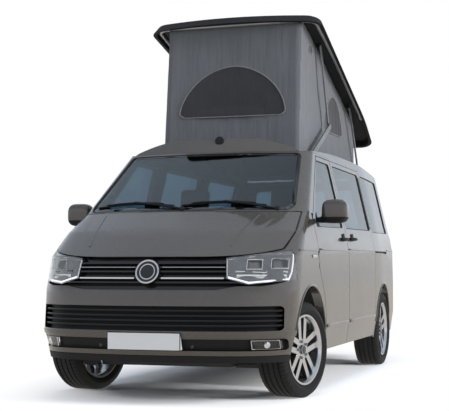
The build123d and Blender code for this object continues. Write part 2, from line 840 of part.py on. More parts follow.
def cab_frame():
    """The windscreen frame: both front posts, the header and the cowl edge."""
    zone = SHELL & block(X_B_POST, FAR, -FAR, FAR, Z_COWL - SHUT_GAP, Z_RIM)
    zone -= block(BONNET_EDGE[3][0], FAR, -FAR, FAR, Z_BELT_FRONT, Z_COWL)
    zone -= front_prism(SCREEN, 800, FAR, 50)
    outer_line = [(x, z) for x, z in DOOR_FRONT[5:]]
    cut = [
        (X_B_POST, 1200),
        (outer_line[0][0], 1200),
        outer_line[0],
        outer_line[1],
        (X_B_POST, Z_DOOR_TOP),
    ]
    zone -= side_prism(cut, -FAR, FAR)
    return keep_large(zone)


def windscreen():
    """The windscreen pane."""
    cut = front_prism(shrink(SCREEN, SEAT_GAP), 800, FAR, 50 - SEAT_GAP)
    return keep_large(PANE_SHELL & cut)


def inner_frame():
    """Inner posts, sills and roof rails that the outer panels seat on."""
    ring = FRAME_OUTER - FRAME_INNER
    frame = ring & block(X_REAR + TAIL_DEPTH + 20, 1240, -FAR, FAR, 1795, Z_RIM - SEAT_GAP)
    for x, half in ((X_B_POST, 52), (X_C_POST, 44)):
        frame += ring & block(x - half, x + half, -FAR, FAR, 400, 1800)
    frame += ring & block(X_REAR + 480, 1050, -FAR, FAR, Z_DOOR_LOW + 10, 420)
    for well in wells(6):
        frame -= well
    return keep_large(frame)


# Wheels
def tyre(width=TYRE_WIDTH):
    """A tyre about the Y axis, with four grooves round the tread."""
    half = width / 2
    bead = RIM_RADIUS - 14
    seat = RIM_WIDTH / 2 - 12 - SEAT_GAP
    points = [
        (bead, -seat),
        (bead + 14, -seat),
        (bead + 20, -seat - 12),
        (TYRE_RADIUS - 52, -half),
        (TYRE_RADIUS - 14, -half + 12),
        (TYRE_RADIUS, -half + 32),
        (TYRE_RADIUS, half - 32),
        (TYRE_RADIUS - 14, half - 12),
        (TYRE_RADIUS - 52, half),
        (bead + 20, seat + 12),
        (bead + 14, seat),
        (bead, seat),
    ]
    line = Polyline(*[(r, y) for r, y in points], close=True)
    body = revolve(make_face(line.edges()), Axis.Y)
    for y in (-0.26, -0.09, 0.09, 0.26):
        groove = Pos(TYRE_RADIUS - 4, y * width) * Rectangle(10, 9)
        body -= revolve(groove, Axis.Y)
    return body


SPOKES = 5
SPOKE_WIDTH = 40
SPOKE_OFFSET = 25
SPOKE_LEAN = 5


def rim():
    """An alloy wheel about the Y axis, its face towards +Y, with twin spokes."""
    half = RIM_WIDTH / 2
    inner = RIM_RADIUS - 16
    profile = [
        (inner, -half),
        (RIM_RADIUS - 2, -half),
        (RIM_RADIUS - 2, -half + 10),
        (inner + 1.7, -half + 12),
        (inner + 1.7, half - 12),
        (RIM_RADIUS - 2, half - 10),
        (RIM_RADIUS - 2, half),
        (inner, half),
        (inner - 14, half - 26),
        (inner - 14, -half + 26),
    ]
    barrel = revolve(make_face(Polyline(*profile, close=True).edges()), Axis.Y)
    face_y = half - 34
    hub = Pos(0, face_y - 24, 0) * Cylinder(78, 58, rotation=(90, 0, 0))
    wheel = barrel + hub
    for i in range(SPOKES):
        for way in (-1, 1):
            spoke = Pos(way * SPOKE_OFFSET, face_y - 10, RIM_RADIUS / 2) * Box(SPOKE_WIDTH, 34, RIM_RADIUS - 20)
            spoke = Rot(0, way * SPOKE_LEAN, 0) * spoke
            wheel += Rot(0, i * 360 / SPOKES, 0) * spoke
    wheel = wheel & (Cylinder(inner, RIM_WIDTH, rotation=(90, 0, 0)) + barrel)
    return wheel - Cylinder(HUB_BORE + 0.1, 400, rotation=(90, 0, 0))


def at_wheel(shape, x, side, steer):
    """A wheel's piece moved to its axle end, turned by the steering."""
    if side < 0:
        shape = mirror(shape, about=Plane.XZ)
    placed = Pos(x, side * HALF_TRACK, TYRE_RADIUS) * shape
    if steer:
        pin = Axis((x, side * (HALF_TRACK - KINGPIN_INSET), 0), (0, 0, 1))
        placed = placed.rotate(pin, steer)
    return placed


STRUT_TOP = 812
STRUT_RADIUS = 26
DISC_RADIUS = 165
BALL_RADIUS = 12
ARM_TOP = 228


def knuckle():
    """A front hub carrier about the wheel's centre: stub, disc, upright and strut."""
    end = RIM_WIDTH / 2 - 40
    stub = rod_y(0, 0, HUB_BORE, -KINGPIN_INSET, end)
    disc = rod_y(0, 0, DISC_RADIUS, -27, -1)
    upright = block(-42, 42, -KINGPIN_INSET - 36, -KINGPIN_INSET + 40, -108, 130)
    caliper = block(-DISC_RADIUS - 18, -DISC_RADIUS + 62, -62, 16, -70, 70)
    bridge = block(-DISC_RADIUS, 0, -KINGPIN_INSET, -50, -40, 40)
    strut = rod_z(0, -KINGPIN_INSET, STRUT_RADIUS, 100, STRUT_TOP - TYRE_RADIUS)
    ball = rod_z(0, -KINGPIN_INSET, BALL_RADIUS, ARM_TOP - 26 - TYRE_RADIUS, -100)
    return stub + disc + upright + caliper + bridge + strut + ball


# Under the floor
def front_axle():
    """The front subframe with its lower arms."""
    frame = block(1300, 1760, -400, 400, 215, 262)
    for side in (1, -1):
        pin_y = side * (HALF_TRACK - KINGPIN_INSET)
        frame += block(1490, 1598, *sorted((side * 390, pin_y)), ARM_TOP - 28, ARM_TOP - 2)
        frame += rod_z(X_FRONT_AXLE, pin_y, 34, ARM_TOP - 32, ARM_TOP)
        frame -= rod_z(X_FRONT_AXLE, pin_y, BALL_RADIUS + 0.1, 150, 300)
        frame += block(1296, 1326, *sorted((side * 300, side * 380)), 240, FLOOR_LOW)
    return frame


BUFFER_PLACE = (2175, 580)
BUFFER_RADIUS = 14
BUFFER_RUN = 0.15


def front_structure():
    """The apron behind the nose and wings, with the strut towers and the bonnet's buffers."""
    apron = (FRAME_OUTER - FRAME_INNER) & block(1336, FAR, -FAR, FAR, 300, 1000)
    skin = hull(WALL + SEAT_GAP)
    for side in (1, -1):
        pin_y = side * (HALF_TRACK - KINGPIN_INSET)
        low, high = sorted((side * (abs(pin_y) - 80), side * 1000))
        tower = skin & block(1454, 1634, low, high, STRUT_TOP + SEAT_GAP, STRUT_TOP + 34)
        apron += tower
        apron += block(1330, 1634, *sorted((side * 574, side * 600)), STRUT_TOP + SEAT_GAP, STRUT_TOP + 34)
    for well in wells(6.5):
        apron -= well
    buffer = rod_z(*BUFFER_PLACE, BUFFER_RADIUS, 930, 1200) & hull(DOOR_WALL + BUFFER_RUN)
    for foot in both_sides(buffer):
        apron += foot
    return keep_large(apron)


def rear_axle():
    """The rear axle beam with its trailing arms and stub axles."""
    beam = rod_y(X_REAR_AXLE, TYRE_RADIUS - 60, 36, -610, 610)
    face = RIM_WIDTH / 2 - 34
    for side in (1, -1):
        y_end = side * (HALF_TRACK + face - 6)
        low, high = sorted((side * (WELL_INNER_REAR - 4), y_end))
        beam += rod_y(X_REAR_AXLE, TYRE_RADIUS, HUB_BORE, low, high)
        low, high = sorted((side * 570, side * 652))
        beam += block(X_REAR_AXLE - 60, X_REAR_AXLE + 520, low, high, 262, 345)
        beam += block(X_REAR_AXLE + 460, X_REAR_AXLE + 520, low, high, 340, 372)
        low, high = sorted((side * (HALF_TRACK - 40), side * (HALF_TRACK - 14)))
        beam += rod_y(X_REAR_AXLE, TYRE_RADIUS, DISC_RADIUS, low, high)
    return beam


FLOOR_LOW = 372
FLOOR_TOP = 420


def floor_pan():
    """The floor, with its wheel boxes cut and the bulkhead in front."""
    inner = hull(WALL + FRAME_DEPTH + SEAT_GAP, 40)
    floor = inner & block(X_REAR + 120, 1330, -FAR, FAR, FLOOR_LOW, FLOOR_TOP)
    wall = inner & block(1290, 1330, -FAR, FAR, FLOOR_LOW, 1200)
    pan = floor + wall
    for well in wells(10):
        pan -= well
    return keep_large(pan)


def arch_liners():
    """The four wheel-arch liners."""
    made = []
    skin = hull(WALL + SEAT_GAP)
    for x, radius, inner in (
        (X_FRONT_AXLE, FRONT_ARCH, WELL_INNER),
        (X_REAR_AXLE, REAR_ARCH, WELL_INNER_REAR),
    ):
        ring = rod_y(x, TYRE_RADIUS, radius + 6, inner, 1100)
        ring -= rod_y(x, TYRE_RADIUS, radius, inner - 5, 1110)
        ring &= block(x - 600, x + 600, 300, 1100, TYRE_RADIUS + 60, FAR)
        if x > 0:
            ring -= rod_z(x, HALF_TRACK - KINGPIN_INSET, STRUT_RADIUS + 22, 600, 900)
        made += both_sides(keep_large(skin & ring))
    return solids_of(made)


def engine():
    """The engine and gearbox as one plain mass across the nose."""
    return block(1500, 1980, -430, 430, 262, 880) - block(1400, 1770, -FAR, FAR, 200, 262)


def fuel_tank():
    """The fuel tank below the floor on the right."""
    return block(-420, 420, -620, -120, 190, FLOOR_LOW)


def exhaust():
    """The exhaust pipe and silencer below the floor on the left."""
    pipe = rod_y(0, 0, 22, -1150, 1150)
    pipe = Pos(-880, 330, 347) * Rot(0, 0, 90) * pipe
    box = block(-2020, -1560, 210, 480, 226, FLOOR_LOW)
    return pipe + box + block(180, 240, 318, 342, 340, FLOOR_LOW)


# Cab and living space
DASH_SIDE = [
    (1289, 640),
    (1150, 700),
    (1090, 900),
    (1088, 1090),
    (1180, 1180),
    (1290, 1240),
    (1560, 1322),
    (1600, 1300),
    (1331, 1210),
    (1289, 1200),
]
SEAT_Y = 410
WHEEL_PLACE = (1010, -SEAT_Y, 1080)
WHEEL_TILT = 62


def dashboard():
    """The dashboard with the hood over the instruments."""
    board = side_prism(DASH_SIDE, -900, 900) & hull(WALL + FRAME_DEPTH + 2, 40)
    hood = block(1120, 1288, -SEAT_Y - 190, -SEAT_Y + 190, 1120, 1262)
    hood = chamfer(hood.faces().sort_by(Axis.Z)[-1].edges(), 34)
    board = board + hood - steering_wheel()
    for well in wells(12):
        board -= well
    return keep_large(board)


def steering_wheel():
    """The steering wheel on its column."""
    ring = Torus(185, 15)
    hub = Cylinder(56, 44)
    for turn_by in (0, 90, 180):
        hub += Rot(0, 0, turn_by) * (Pos(110, 0, 0) * Box(150, 40, 14))
    column = Pos(0, 0, -90) * Cylinder(30, 180)
    wheel = ring + hub + column
    return Pos(*WHEEL_PLACE) * Rot(0, -WHEEL_TILT, 0) * wheel


def cushion(x_low, x_high, y_low, y_high, z_low, z_high, radius):
    """A soft block with rounded edges."""
    pad = block(x_low, x_high, y_low, y_high, z_low, z_high)
    return fillet(pad.edges(), radius)


def front_seats():
    """The two cab seats on their plinths."""
    made = []
    for side in (1, -1):
        y = side * SEAT_Y
        seat = block(360, 800, y - 190, y + 190, FLOOR_TOP, 700)
        seat += cushion(330, 850, y - 250, y + 250, 690, 830, 40)
        back = cushion(-60, 70, y - 245, y + 245, 0, 640, 45)
        back += cushion(-40, 50, y - 130, y + 130, 660, 860, 36)
        back += block(-10, 14, y - 70, y - 50, 600, 700)
        back += block(-10, 14, y + 50, y + 70, 600, 700)
        seat += Pos(400, 0, 780) * Rot(0, -14, 0) * back
        made.append(seat)
    return solids_of(made)


def rear_bench():
    """The bench across the rear, which folds to a bed."""
    bench = block(-1290, -760, -330, 612, FLOOR_TOP, 690)
    bench += cushion(-1300, -730, -335, 618, 680, 820, 40)
    bench += Pos(-1250, 0, 770) * Rot(0, -16, 0) * cushion(-70, 70, -335, 618, 0, 620, 45)
    return bench


def kitchen():
    """The galley along the right side."""
    unit = block(-1930, -120, -780, -420, FLOOR_TOP, 1225)
    for well in wells(12):
        unit -= well
    return unit & hull(WALL + FRAME_DEPTH + 2, 40)


def build():
    """Makes every node."""
    knuckle_form = knuckle()
    tyre_form = tyre()
    rim_form = rim()
    mirror_form = door_mirror()
    front_pane = pane(FRONT_WINDOW, 300, FAR)
    middle_pane = pane(MIDDLE_WINDOW, 300, FAR)
    rear_pane = pane(REAR_WINDOW, 300, FAR)
    made = {
        "floor_pan": floor_pan(),
        "inner_frame": inner_frame(),
        "front_structure": front_structure(),
        "cab_frame": cab_frame(),
        "windscreen": windscreen(),
        "roof_frame": roof_frame(),
        "arm_feet": arm_feet(),
        "side_panel_left": side_panel(1),
        "side_panel_right": side_panel(-1),
        "sliding_door": sliding_door(),
        "sliding_door_glass": middle_pane,
        "side_glass": solids_of(both_sides(rear_pane), mirror(middle_pane, about=Plane.XZ)),
        "wings": wings(),
        "front_bumper": front_bumper(),
        "front_valance": front_valance(),
        "upper_grille": upper_grille(),
        "lower_grille": lower_grille(),
        "fog_band": fog_band(),
        "fog_lamps": fog_lamps(),
        "number_plate": number_plate(),
        "headlamp_lenses": headlamp_lenses(),
        "headlamp_bowls": headlamp_bowls(),
        "tail_lamps": tail_lamps(),
        "rear_bumper": rear_bumper(),
        "arch_liners": arch_liners(),
        "engine": engine(),
        "front_axle": front_axle(),
        "rear_axle": rear_axle(),
        "fuel_tank": fuel_tank(),
        "exhaust": exhaust(),
        "dashboard": dashboard(),
        "steering_wheel": steering_wheel(),
        "front_seats": front_seats(),
        "rear_bench": rear_bench(),
        "kitchen": kitchen(),
        "tent": tent(),
        "front_door_left": front_door(1),
        "front_door_right": front_door(-1),
        "front_door_glass_left": front_pane,
        "front_door_glass_right": mirror(front_pane, about=Plane.XZ),
        "door_mirror_left": mirror_form,
        "door_mirror_right": mirror(mirror_form, about=Plane.XZ),
        "bonnet": bonnet(),
        "tailgate": tailgate(),
        "tailgate_glass": tailgate_glass(),
        "roof_lid": roof_lid(),
        "lift_arms": lift_arms(),
        "lower_stays": lower_stays(),
        "upper_stays": upper_stays(),
    }
    for x, end, steer in ((X_FRONT_AXLE, "front", STEER_REST), (X_REAR_AXLE, "rear", 0)):
        for side, hand in ((1, "left"), (-1, "right")):
            made[f"rim_{end}_{hand}"] = at_wheel(rim_form, x, side, steer)
            made[f"tyre_{end}_{hand}"] = at_wheel(tyre_form, x, side, steer)
            if steer:
                made[f"knuckle_{hand}"] = at_wheel(knuckle_form, x, side, steer)
    return made


if __name__ == "__main__":
    os.makedirs("parts", exist_ok=True)
    for name, shape in build().items():
        export_step(shape, f"parts/{name}.step")
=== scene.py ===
"""Dresses a camper van with a lifting roof: paint, glass, lamps, tent, wheels and cabin."""

import json
import logging
import math
from collections.abc import Callable, Iterator, Sequence
from contextlib import contextmanager
from dataclasses import dataclass, field
from enum import Enum
from functools import cache

import bmesh
import bpy
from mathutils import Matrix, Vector
from mathutils.bvhtree import BVHTree

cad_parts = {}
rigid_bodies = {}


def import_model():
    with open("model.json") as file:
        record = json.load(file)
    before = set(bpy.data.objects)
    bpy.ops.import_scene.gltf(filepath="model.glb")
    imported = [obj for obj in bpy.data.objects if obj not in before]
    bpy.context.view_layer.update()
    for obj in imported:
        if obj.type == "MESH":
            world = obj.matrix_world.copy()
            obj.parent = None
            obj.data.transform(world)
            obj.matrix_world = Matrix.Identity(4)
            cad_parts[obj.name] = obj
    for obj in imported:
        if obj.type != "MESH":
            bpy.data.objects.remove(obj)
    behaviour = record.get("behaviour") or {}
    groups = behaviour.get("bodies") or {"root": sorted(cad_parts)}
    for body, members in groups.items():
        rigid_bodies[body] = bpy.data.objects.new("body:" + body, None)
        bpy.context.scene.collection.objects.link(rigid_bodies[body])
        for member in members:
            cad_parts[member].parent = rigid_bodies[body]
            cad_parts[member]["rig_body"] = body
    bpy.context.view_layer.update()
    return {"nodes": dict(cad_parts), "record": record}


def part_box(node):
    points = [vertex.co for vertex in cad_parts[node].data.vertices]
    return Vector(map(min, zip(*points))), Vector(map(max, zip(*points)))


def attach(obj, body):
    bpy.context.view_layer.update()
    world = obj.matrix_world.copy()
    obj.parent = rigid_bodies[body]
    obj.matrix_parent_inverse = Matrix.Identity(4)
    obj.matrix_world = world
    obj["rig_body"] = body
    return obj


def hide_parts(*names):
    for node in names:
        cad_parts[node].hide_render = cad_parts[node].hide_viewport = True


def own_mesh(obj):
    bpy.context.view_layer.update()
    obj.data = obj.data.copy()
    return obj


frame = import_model()
LOG = logging.getLogger("camper_van")
Piece = bpy.types.Object
Material = bpy.types.Material
Socket = bpy.types.NodeSocket
Node = bpy.types.Node
Tree = bpy.types.NodeTree
Point = tuple[float, float, float]
Spot = tuple[float, float]
Span = tuple[str, float, float, "Hand"]
NODES: dict[str, Piece] = frame["nodes"]


class Hand(Enum):
    """A side of the van."""

    LEFT = 1
    RIGHT = -1


class Wall(Enum):
    """A kind of wall of the tent."""

    FRONT = "front"
    SIDE = "side"


# Places outside the van from which rays start, in metres
AHEAD = 3.2
BEHIND = -3.2
BESIDE = 2.2
ABOVE = 2.0

# How closely a copied solid is merged, and how even its joined faces are
MERGE_DISTANCE = 1e-5
FLAT_ANGLE = math.radians(0.05)

# Radii that the front and rear wipers share
WIPER_BLADE = 0.007
WIPER_ARM = 0.009

# Shaping helpers


def deselect() -> None:
    """Leaves nothing selected."""
    bpy.ops.object.select_all(action="DESELECT")


def pick(obj: Piece) -> Piece:
    """Selects one object alone and makes it active.

    Args:
        obj: the object to select.

    Returns:
        The same object.
    """
    deselect()
    obj.select_set(True)
    bpy.context.view_layer.objects.active = obj
    return obj


@contextmanager
def editing(obj: Piece, mode: str = "FACE") -> Iterator[bmesh.types.BMesh]:
    """Opens a mesh in edit mode with nothing selected.

    Args:
        obj: the mesh object.
        mode: the selection mode, VERT, EDGE or FACE.

    Returns:
        A context that gives the edit mesh.
    """
    pick(obj)
    bpy.ops.object.mode_set(mode="EDIT")
    bpy.ops.mesh.select_mode(type=mode)
    bpy.ops.mesh.select_all(action="DESELECT")
    yield bmesh.from_edit_mesh(obj.data)
    bpy.ops.object.mode_set(mode="OBJECT")


def choose(obj: Piece, mesh: bmesh.types.BMesh, test: Callable) -> None:
    """Selects the faces of an edit mesh that pass a test.

    Args:
        obj: the object in edit mode.
        mesh: its edit mesh.
        test: takes a face and says whether it is selected.
    """
    for face in mesh.faces:
        face.select_set(bool(test(face)))
    bmesh.update_edit_mesh(obj.data)


def modify(obj: Piece, kind: str, **settings: object) -> Piece:
    """Adds a modifier and applies it.

    Args:
        obj: the object to change.
        kind: the modifier's type.
        settings: the modifier's values.

    Returns:
        The same object.
    """
    pick(obj)
    modifier = obj.modifiers.new(kind.title(), kind)
    for name, value in settings.items():
        setattr(modifier, name, value)
    bpy.ops.object.modifier_apply(modifier=modifier.name)
    return obj


def smooth(obj: Piece, degrees: float = 35) -> Piece:
    """Shades a mesh smooth below an angle.

    Args:
        obj: the mesh object.
        degrees: the angle from which an edge stays sharp.

    Returns:
        The same object.
    """
    pick(obj)
    bpy.ops.object.shade_smooth_by_angle(angle=math.radians(degrees))
    return obj


def settle(obj: Piece, name: str, material: Material) -> Piece:
    """Puts a new piece's place into its mesh, names it and gives it one material.

    Args:
        obj: the new piece.
        name: its name.
        material: its finish.

    Returns:
        The same object.
    """
    pick(obj)
    bpy.ops.object.transform_apply(location=True, rotation=True, scale=True)
    obj.name = name
    obj.data.name = name
    obj.data.materials.clear()
    obj.data.materials.append(material)
    return obj


def bevel_edges(obj: Piece, width: float, segments: int = 2, degrees: float = 32) -> None:
    """Rounds a piece's sharp edges.

    Args:
        obj: the piece.
        width: the bevel's width in metres.
        segments: facets across the bevel.
        degrees: the angle from which an edge counts as sharp.
    """
    modify(
        obj,
        "BEVEL",
        width=width,
        segments=segments,
        limit_method="ANGLE",
        angle_limit=math.radians(degrees),
    )


def box_piece(
    name: str, low: Point, high: Point, material: Material, round_by: float = 0.004
) -> Piece:
    """A block with rounded edges between two corners.

    Args:
        name: the piece's name.
        low: its lowest corner.
        high: its highest corner.
        material: its finish.
        round_by: the width of the rounding.

    Returns:
        The new piece.
    """
    deselect()
    centre = [(a + b) / 2 for a, b in zip(low, high)]
    bpy.ops.mesh.primitive_cube_add(size=1, location=centre)
    obj = bpy.context.object
    obj.scale = [b - a for a, b in zip(low, high)]
    settle(obj, name, material)
    bevel_edges(obj, round_by, 3)
    return smooth(obj)


def tube_piece(
    name: str,
    points: Sequence[Point],
    radius: float,
    material: Material,
    closed: bool = False,
    sides: int = 3,
) -> Piece:
    """A round bar or bead along a line of points.

    Args:
        name: the piece's name.
        points: the points that it follows.
        radius: its radius.
        material: its finish.
        closed: whether it runs back to its start.
        sides: the resolution round the bar.

    Returns:
        The new piece, a mesh.
    """
    deselect()
    curve = bpy.data.curves.new(name, "CURVE")
    curve.dimensions = "3D"
    curve.bevel_depth = radius
    curve.bevel_resolution = sides
    curve.use_fill_caps = True
    line = curve.splines.new("POLY")
    line.points.add(len(points) - 1)
    for spot, place in zip(line.points, points):
        spot.co = (*place, 1)
    line.use_cyclic_u = closed
    obj = bpy.data.objects.new(name, curve)
    bpy.context.collection.objects.link(obj)
    pick(obj)
    bpy.ops.object.convert(target="MESH")
    obj = bpy.context.object
    settle(obj, name, material)
    return smooth(obj, 50)


def ribbon_piece(
    name: str, points: Sequence[Point], half_height: float, depth: float, material: Material
) -> Piece:
    """An upright strip along a level line of points.

    Args:
        name: the piece's name.
        points: the points along its middle, all at one height.
        half_height: half the strip's height.
        depth: how thick the strip is.
        material: its finish.

    Returns:
        The new piece, a mesh.
    """
    deselect()
    curve = bpy.data.curves.new(name, "CURVE")
    curve.dimensions = "2D"
    curve.extrude = half_height
    line = curve.splines.new("POLY")
    line.points.add(len(points) - 1)
    for spot, place in zip(line.points, points):
        spot.co = (place[0], place[1], 0, 1)
    obj = bpy.data.objects.new(name, curve)
    bpy.context.collection.objects.link(obj)
    obj.location.z = points[0][2]
    pick(obj)
    bpy.ops.object.convert(target="MESH")
    obj = bpy.context.object
    settle(obj, name, material)
    modify(obj, "SOLIDIFY", thickness=depth, offset=0)
    bevel_edges(obj, min(half_height, depth) * 0.4, 2, 50)
    return smooth(obj)


def disc_piece(
    name: str,
    centre: Point,
    axis: Point,
    radius: float,
    depth: float,
    material: Material,
    sides: int = 40,
) -> Piece:
    """A round plate or knob with a rounded rim.

    Args:
        name: the piece's name.
        centre: its middle.
        axis: the way that it faces.
        radius: its radius.
        depth: its thickness.
        material: its finish.
        sides: corners round the rim.

    Returns:
        The new piece.
    """
    deselect()
    bpy.ops.mesh.primitive_cylinder_add(vertices=sides, radius=radius, depth=depth, location=centre)
    obj = bpy.context.object
    obj.rotation_euler = Vector(axis).to_track_quat("Z", "Y").to_euler()
    settle(obj, name, material)
    bevel_edges(obj, min(radius, depth) * 0.25, 2, 50)
    return smooth(obj)


def ring_piece(
    name: str, centre: Point, axis: Point, radius: float, thickness: float, material: Material
) -> Piece:
    """A round ring.

    Args:
        name: the piece's name.
        centre: its middle.
        axis: the way that it faces.
        radius: the radius of its middle line.
        thickness: the radius of its round section.
        material: its finish.

    Returns:
        The new piece.
    """
    deselect()
    bpy.ops.mesh.primitive_torus_add(
        major_radius=radius, minor_radius=thickness, major_segments=56, minor_segments=10, location=centre
    )
    obj = bpy.context.object
    obj.rotation_euler = Vector(axis).to_track_quat("Z", "Y").to_euler()
    settle(obj, name, material)
    return smooth(obj, 60)


def skin_tree(obj: Piece) -> BVHTree:
    """A search tree of an object's faces in the van's frame."""
    corners = [obj.matrix_world @ vertex.co for vertex in obj.data.vertices]
    return BVHTree.FromPolygons(corners, [tuple(face.vertices) for face in obj.data.polygons])


@cache
def node_tree(node: str) -> BVHTree:
    """The search tree of one solid."""
    return skin_tree(NODES[node])


def cast(nodes: Sequence[str], start: Point, way: Point) -> Vector:
    """Where a ray first meets some solids.

    Args:
        nodes: the solids' names.
        start: where the ray starts.
        way: its direction.

    Returns:
        The nearest place that it meets.
    """
    hits = [node_tree(node).ray_cast(Vector(start), Vector(way)) for node in nodes]
    found = [hit for hit in hits if hit[0] is not None]
    if not found:
        raise ValueError(f"no solid of {nodes} at {start}")
    return min(found, key=lambda hit: hit[3])[0]


def steps(low: float, high: float, count: int) -> list[float]:
    """Evenly spaced values from low to high."""
    return [low + (high - low) * k / (count - 1) for k in range(count)]


def nose_line(nodes: Sequence[str], spots: Sequence[Spot], lift: float) -> list[Point]:
    """Points on the front of some solids.

    Args:
        nodes: the solids' names.
        spots: the points in front view, as y and z.
        lift: how far they stand before the surface.

    Returns:
        The points.
    """
    return [(cast(nodes, (AHEAD, y, z), (-1, 0, 0)).x + lift, y, z) for y, z in spots]


def side_line(nodes: Sequence[str], spots: Sequence[Spot], hand: Hand, lift: float) -> list[Point]:
    """Points on the side of some solids.

    Args:
        nodes: the solids' names.
        spots: the points in side view, as x and z.
        hand: the side.
        lift: how far they stand out from the surface.

    Returns:
        The points.
    """
    out = hand.value
    return [(x, cast(nodes, (x, BESIDE * out, z), (0, -out, 0)).y + lift * out, z) for x, z in spots]


def patch_piece(
    name: str,
    nodes: Sequence[str],
    corners: Sequence[Spot],
    hand: Hand,
    material: Material,
    cells: int = 8,
    lift: float = 0.0025,
    thickness: float = 0.0015,
) -> Piece:
    """A thin four-cornered cover that follows the van's side.

    Args:
        name: the piece's name.
        nodes: the solids it lies on.
        corners: four places along and up, one after another round the rim.
        hand: the side.
        material: its finish.
        cells: how many cells it has each way.
        lift: how far it stands off the side.
        thickness: how thick it is.

    Returns:
        The cover.
    """
    deselect()
    bpy.ops.mesh.primitive_grid_add(x_subdivisions=cells, y_subdivisions=cells, size=1)
    patch = bpy.context.object
    for vertex in patch.data.vertices:
        a, b = vertex.co.x + 0.5, vertex.co.y + 0.5
        weights = ((1 - a) * (1 - b), a * (1 - b), a * b, (1 - a) * b)
        spot = tuple(sum(w * corner[k] for w, corner in zip(weights, corners)) for k in range(2))
        vertex.co = side_line(nodes, [spot], hand, lift)[0]
    settle(patch, name, material)
    modify(patch, "SOLIDIFY", thickness=thickness, offset=0.0)
    return smooth(patch, 40)


def join(name: str, pieces: Sequence[Piece]) -> Piece:
    """Joins some pieces into one.

    Args:
        name: the joined piece's name.
        pieces: the pieces, the first of which is kept.

    Returns:
        The joined piece.
    """
    deselect()
    for piece in pieces:
        piece.select_set(True)
    bpy.context.view_layer.objects.active = pieces[0]
    bpy.ops.object.join()
    pieces[0].name = name
    pieces[0].data.name = name
    return pieces[0]


def sided_box(
    name: str, low: Point, high: Point, hand: Hand, material: Material, round_by: float
) -> Piece:
    """A block on one side of the van.

    Args:
        name: the piece's name.
        low: its lowest corner, were it on the left.
        high: its highest corner, were it on the left.
        hand: its side.
        material: its finish.
        round_by: the width of the rounding.

    Returns:
        The new piece.
    """
    inner, outer = sorted((hand.value * low[1], hand.value * high[1]))
    return box_piece(name, (low[0], inner, low[2]), (high[0], outer, high[2]), material, round_by)


def seat(obj: Piece, body: str, slot: str, *nodes: str) -> Piece:
    """Hangs a finished piece on its body and hides the solids that it stands for.

    Args:
        obj: the finished piece.
        body: the body that it rides on.
        slot: not used.
        nodes: the solids that it stands for.

    Returns:
        The same piece.
    """
    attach(obj, body)
    if nodes:
        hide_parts(*nodes)
    LOG.info("%s: %d faces on %s", obj.name, len(obj.data.polygons), body)
    return obj


def solid_copy(node: str, name: str) -> Piece:
    """A merged copy of a solid, with flat faces joined up.

    Args:
        node: the solid's name.
        name: the copy's name.

    Returns:
        The copy, free of the solid's body.
    """
    deselect()
    source = NODES[node]
    copy = bpy.data.objects.new(name, source.data.copy())
    bpy.context.collection.objects.link(copy)
    with editing(copy):
        bpy.ops.mesh.select_all(action="SELECT")
        bpy.ops.mesh.remove_doubles(threshold=MERGE_DISTANCE)
        bpy.ops.mesh.dissolve_limited(angle_limit=FLAT_ANGLE)
    return copy


def body_of(node: str) -> str:
    """The body that a solid belongs to."""
    return NODES[node]["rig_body"]


# Shader groups and finishes


class Group:
    """A shader node group that is built once."""

    def __init__(self, name: str, inputs: dict[str, object], outputs: Sequence[str]) -> None:
        """Starts the group with its sockets.

        Args:
            name: the group's name.
            inputs: socket names with a default, a number or a colour.
            outputs: names of the outputs; one that ends in Colour is a colour.
        """
        self.tree = bpy.data.node_groups.new(name, "ShaderNodeTree")
        for label, value in inputs.items():
            kind = "NodeSocketFloat" if isinstance(value, (int, float)) else "NodeSocketColor"
            socket = self.tree.interface.new_socket(label, in_out="INPUT", socket_type=kind)
            socket.default_value = value if kind == "NodeSocketFloat" else (*value, 1)
        for label in outputs:
            kind = "NodeSocketColor" if label.endswith("Colour") else "NodeSocketFloat"
            self.tree.interface.new_socket(label, in_out="OUTPUT", socket_type=kind)
        self.start = self.tree.nodes.new("NodeGroupInput")
        self.end = self.tree.nodes.new("NodeGroupOutput")

    def add(self, kind: str, settings: dict[str, object] | None = None, **links: object) -> Node:
        """Adds a node, as add_node does."""
        return add_node(self.tree, kind, settings, **links)

    def calc(self, operation: str, *values: object, clamp: bool = False) -> Socket:
        """Adds a Math node, as calc does."""
        return calc(self.tree, operation, *values, clamp=clamp)

    def out(self, **links: Socket) -> None:
        """Links the group's outputs."""
        for label, socket in links.items():
            self.tree.links.new(socket, self.end.inputs[label])

    def taken(self, label: str) -> Socket:
        """One of the group's inputs, as a socket to link from."""
        return self.start.outputs[label]


def add_node(
    tree: Tree, kind: str, settings: dict[str, object] | None = None, **links: object
) -> Node:
    """Adds a shader node to a tree.

    Args:
        tree: the tree.
        kind: the node's type without its prefix.
        settings: values of the node itself.
        links: inputs by name or by place as i0, i1; a socket is linked, a value is set.

    Returns:
        The new node.
    """
    node = tree.nodes.new("ShaderNode" + kind)
    for name, value in (settings or {}).items():
        setattr(node, name, value)
    for label, value in links.items():
        key = int(label[1:]) if label[0] == "i" and label[1:].isdigit() else label.replace("_", " ")
        socket = node.inputs[key]
        if isinstance(value, Socket):
            tree.links.new(value, socket)
        else:
            socket.default_value = value
    return node


def calc(
    tree: Tree, operation: str, *values: object, clamp: bool = False
) -> Socket:
    """Adds a Math node to a tree.

    Args:
        tree: the tree.
        operation: what the node works out.
        values: its inputs in order; a socket is linked, a number is set.
        clamp: whether the result is kept between 0 and 1.

    Returns:
        The result.
    """
    links = {f"i{place}": value for place, value in enumerate(values)}
    return add_node(tree, "Math", {"operation": operation, "use_clamp": clamp}, **links).outputs[0]


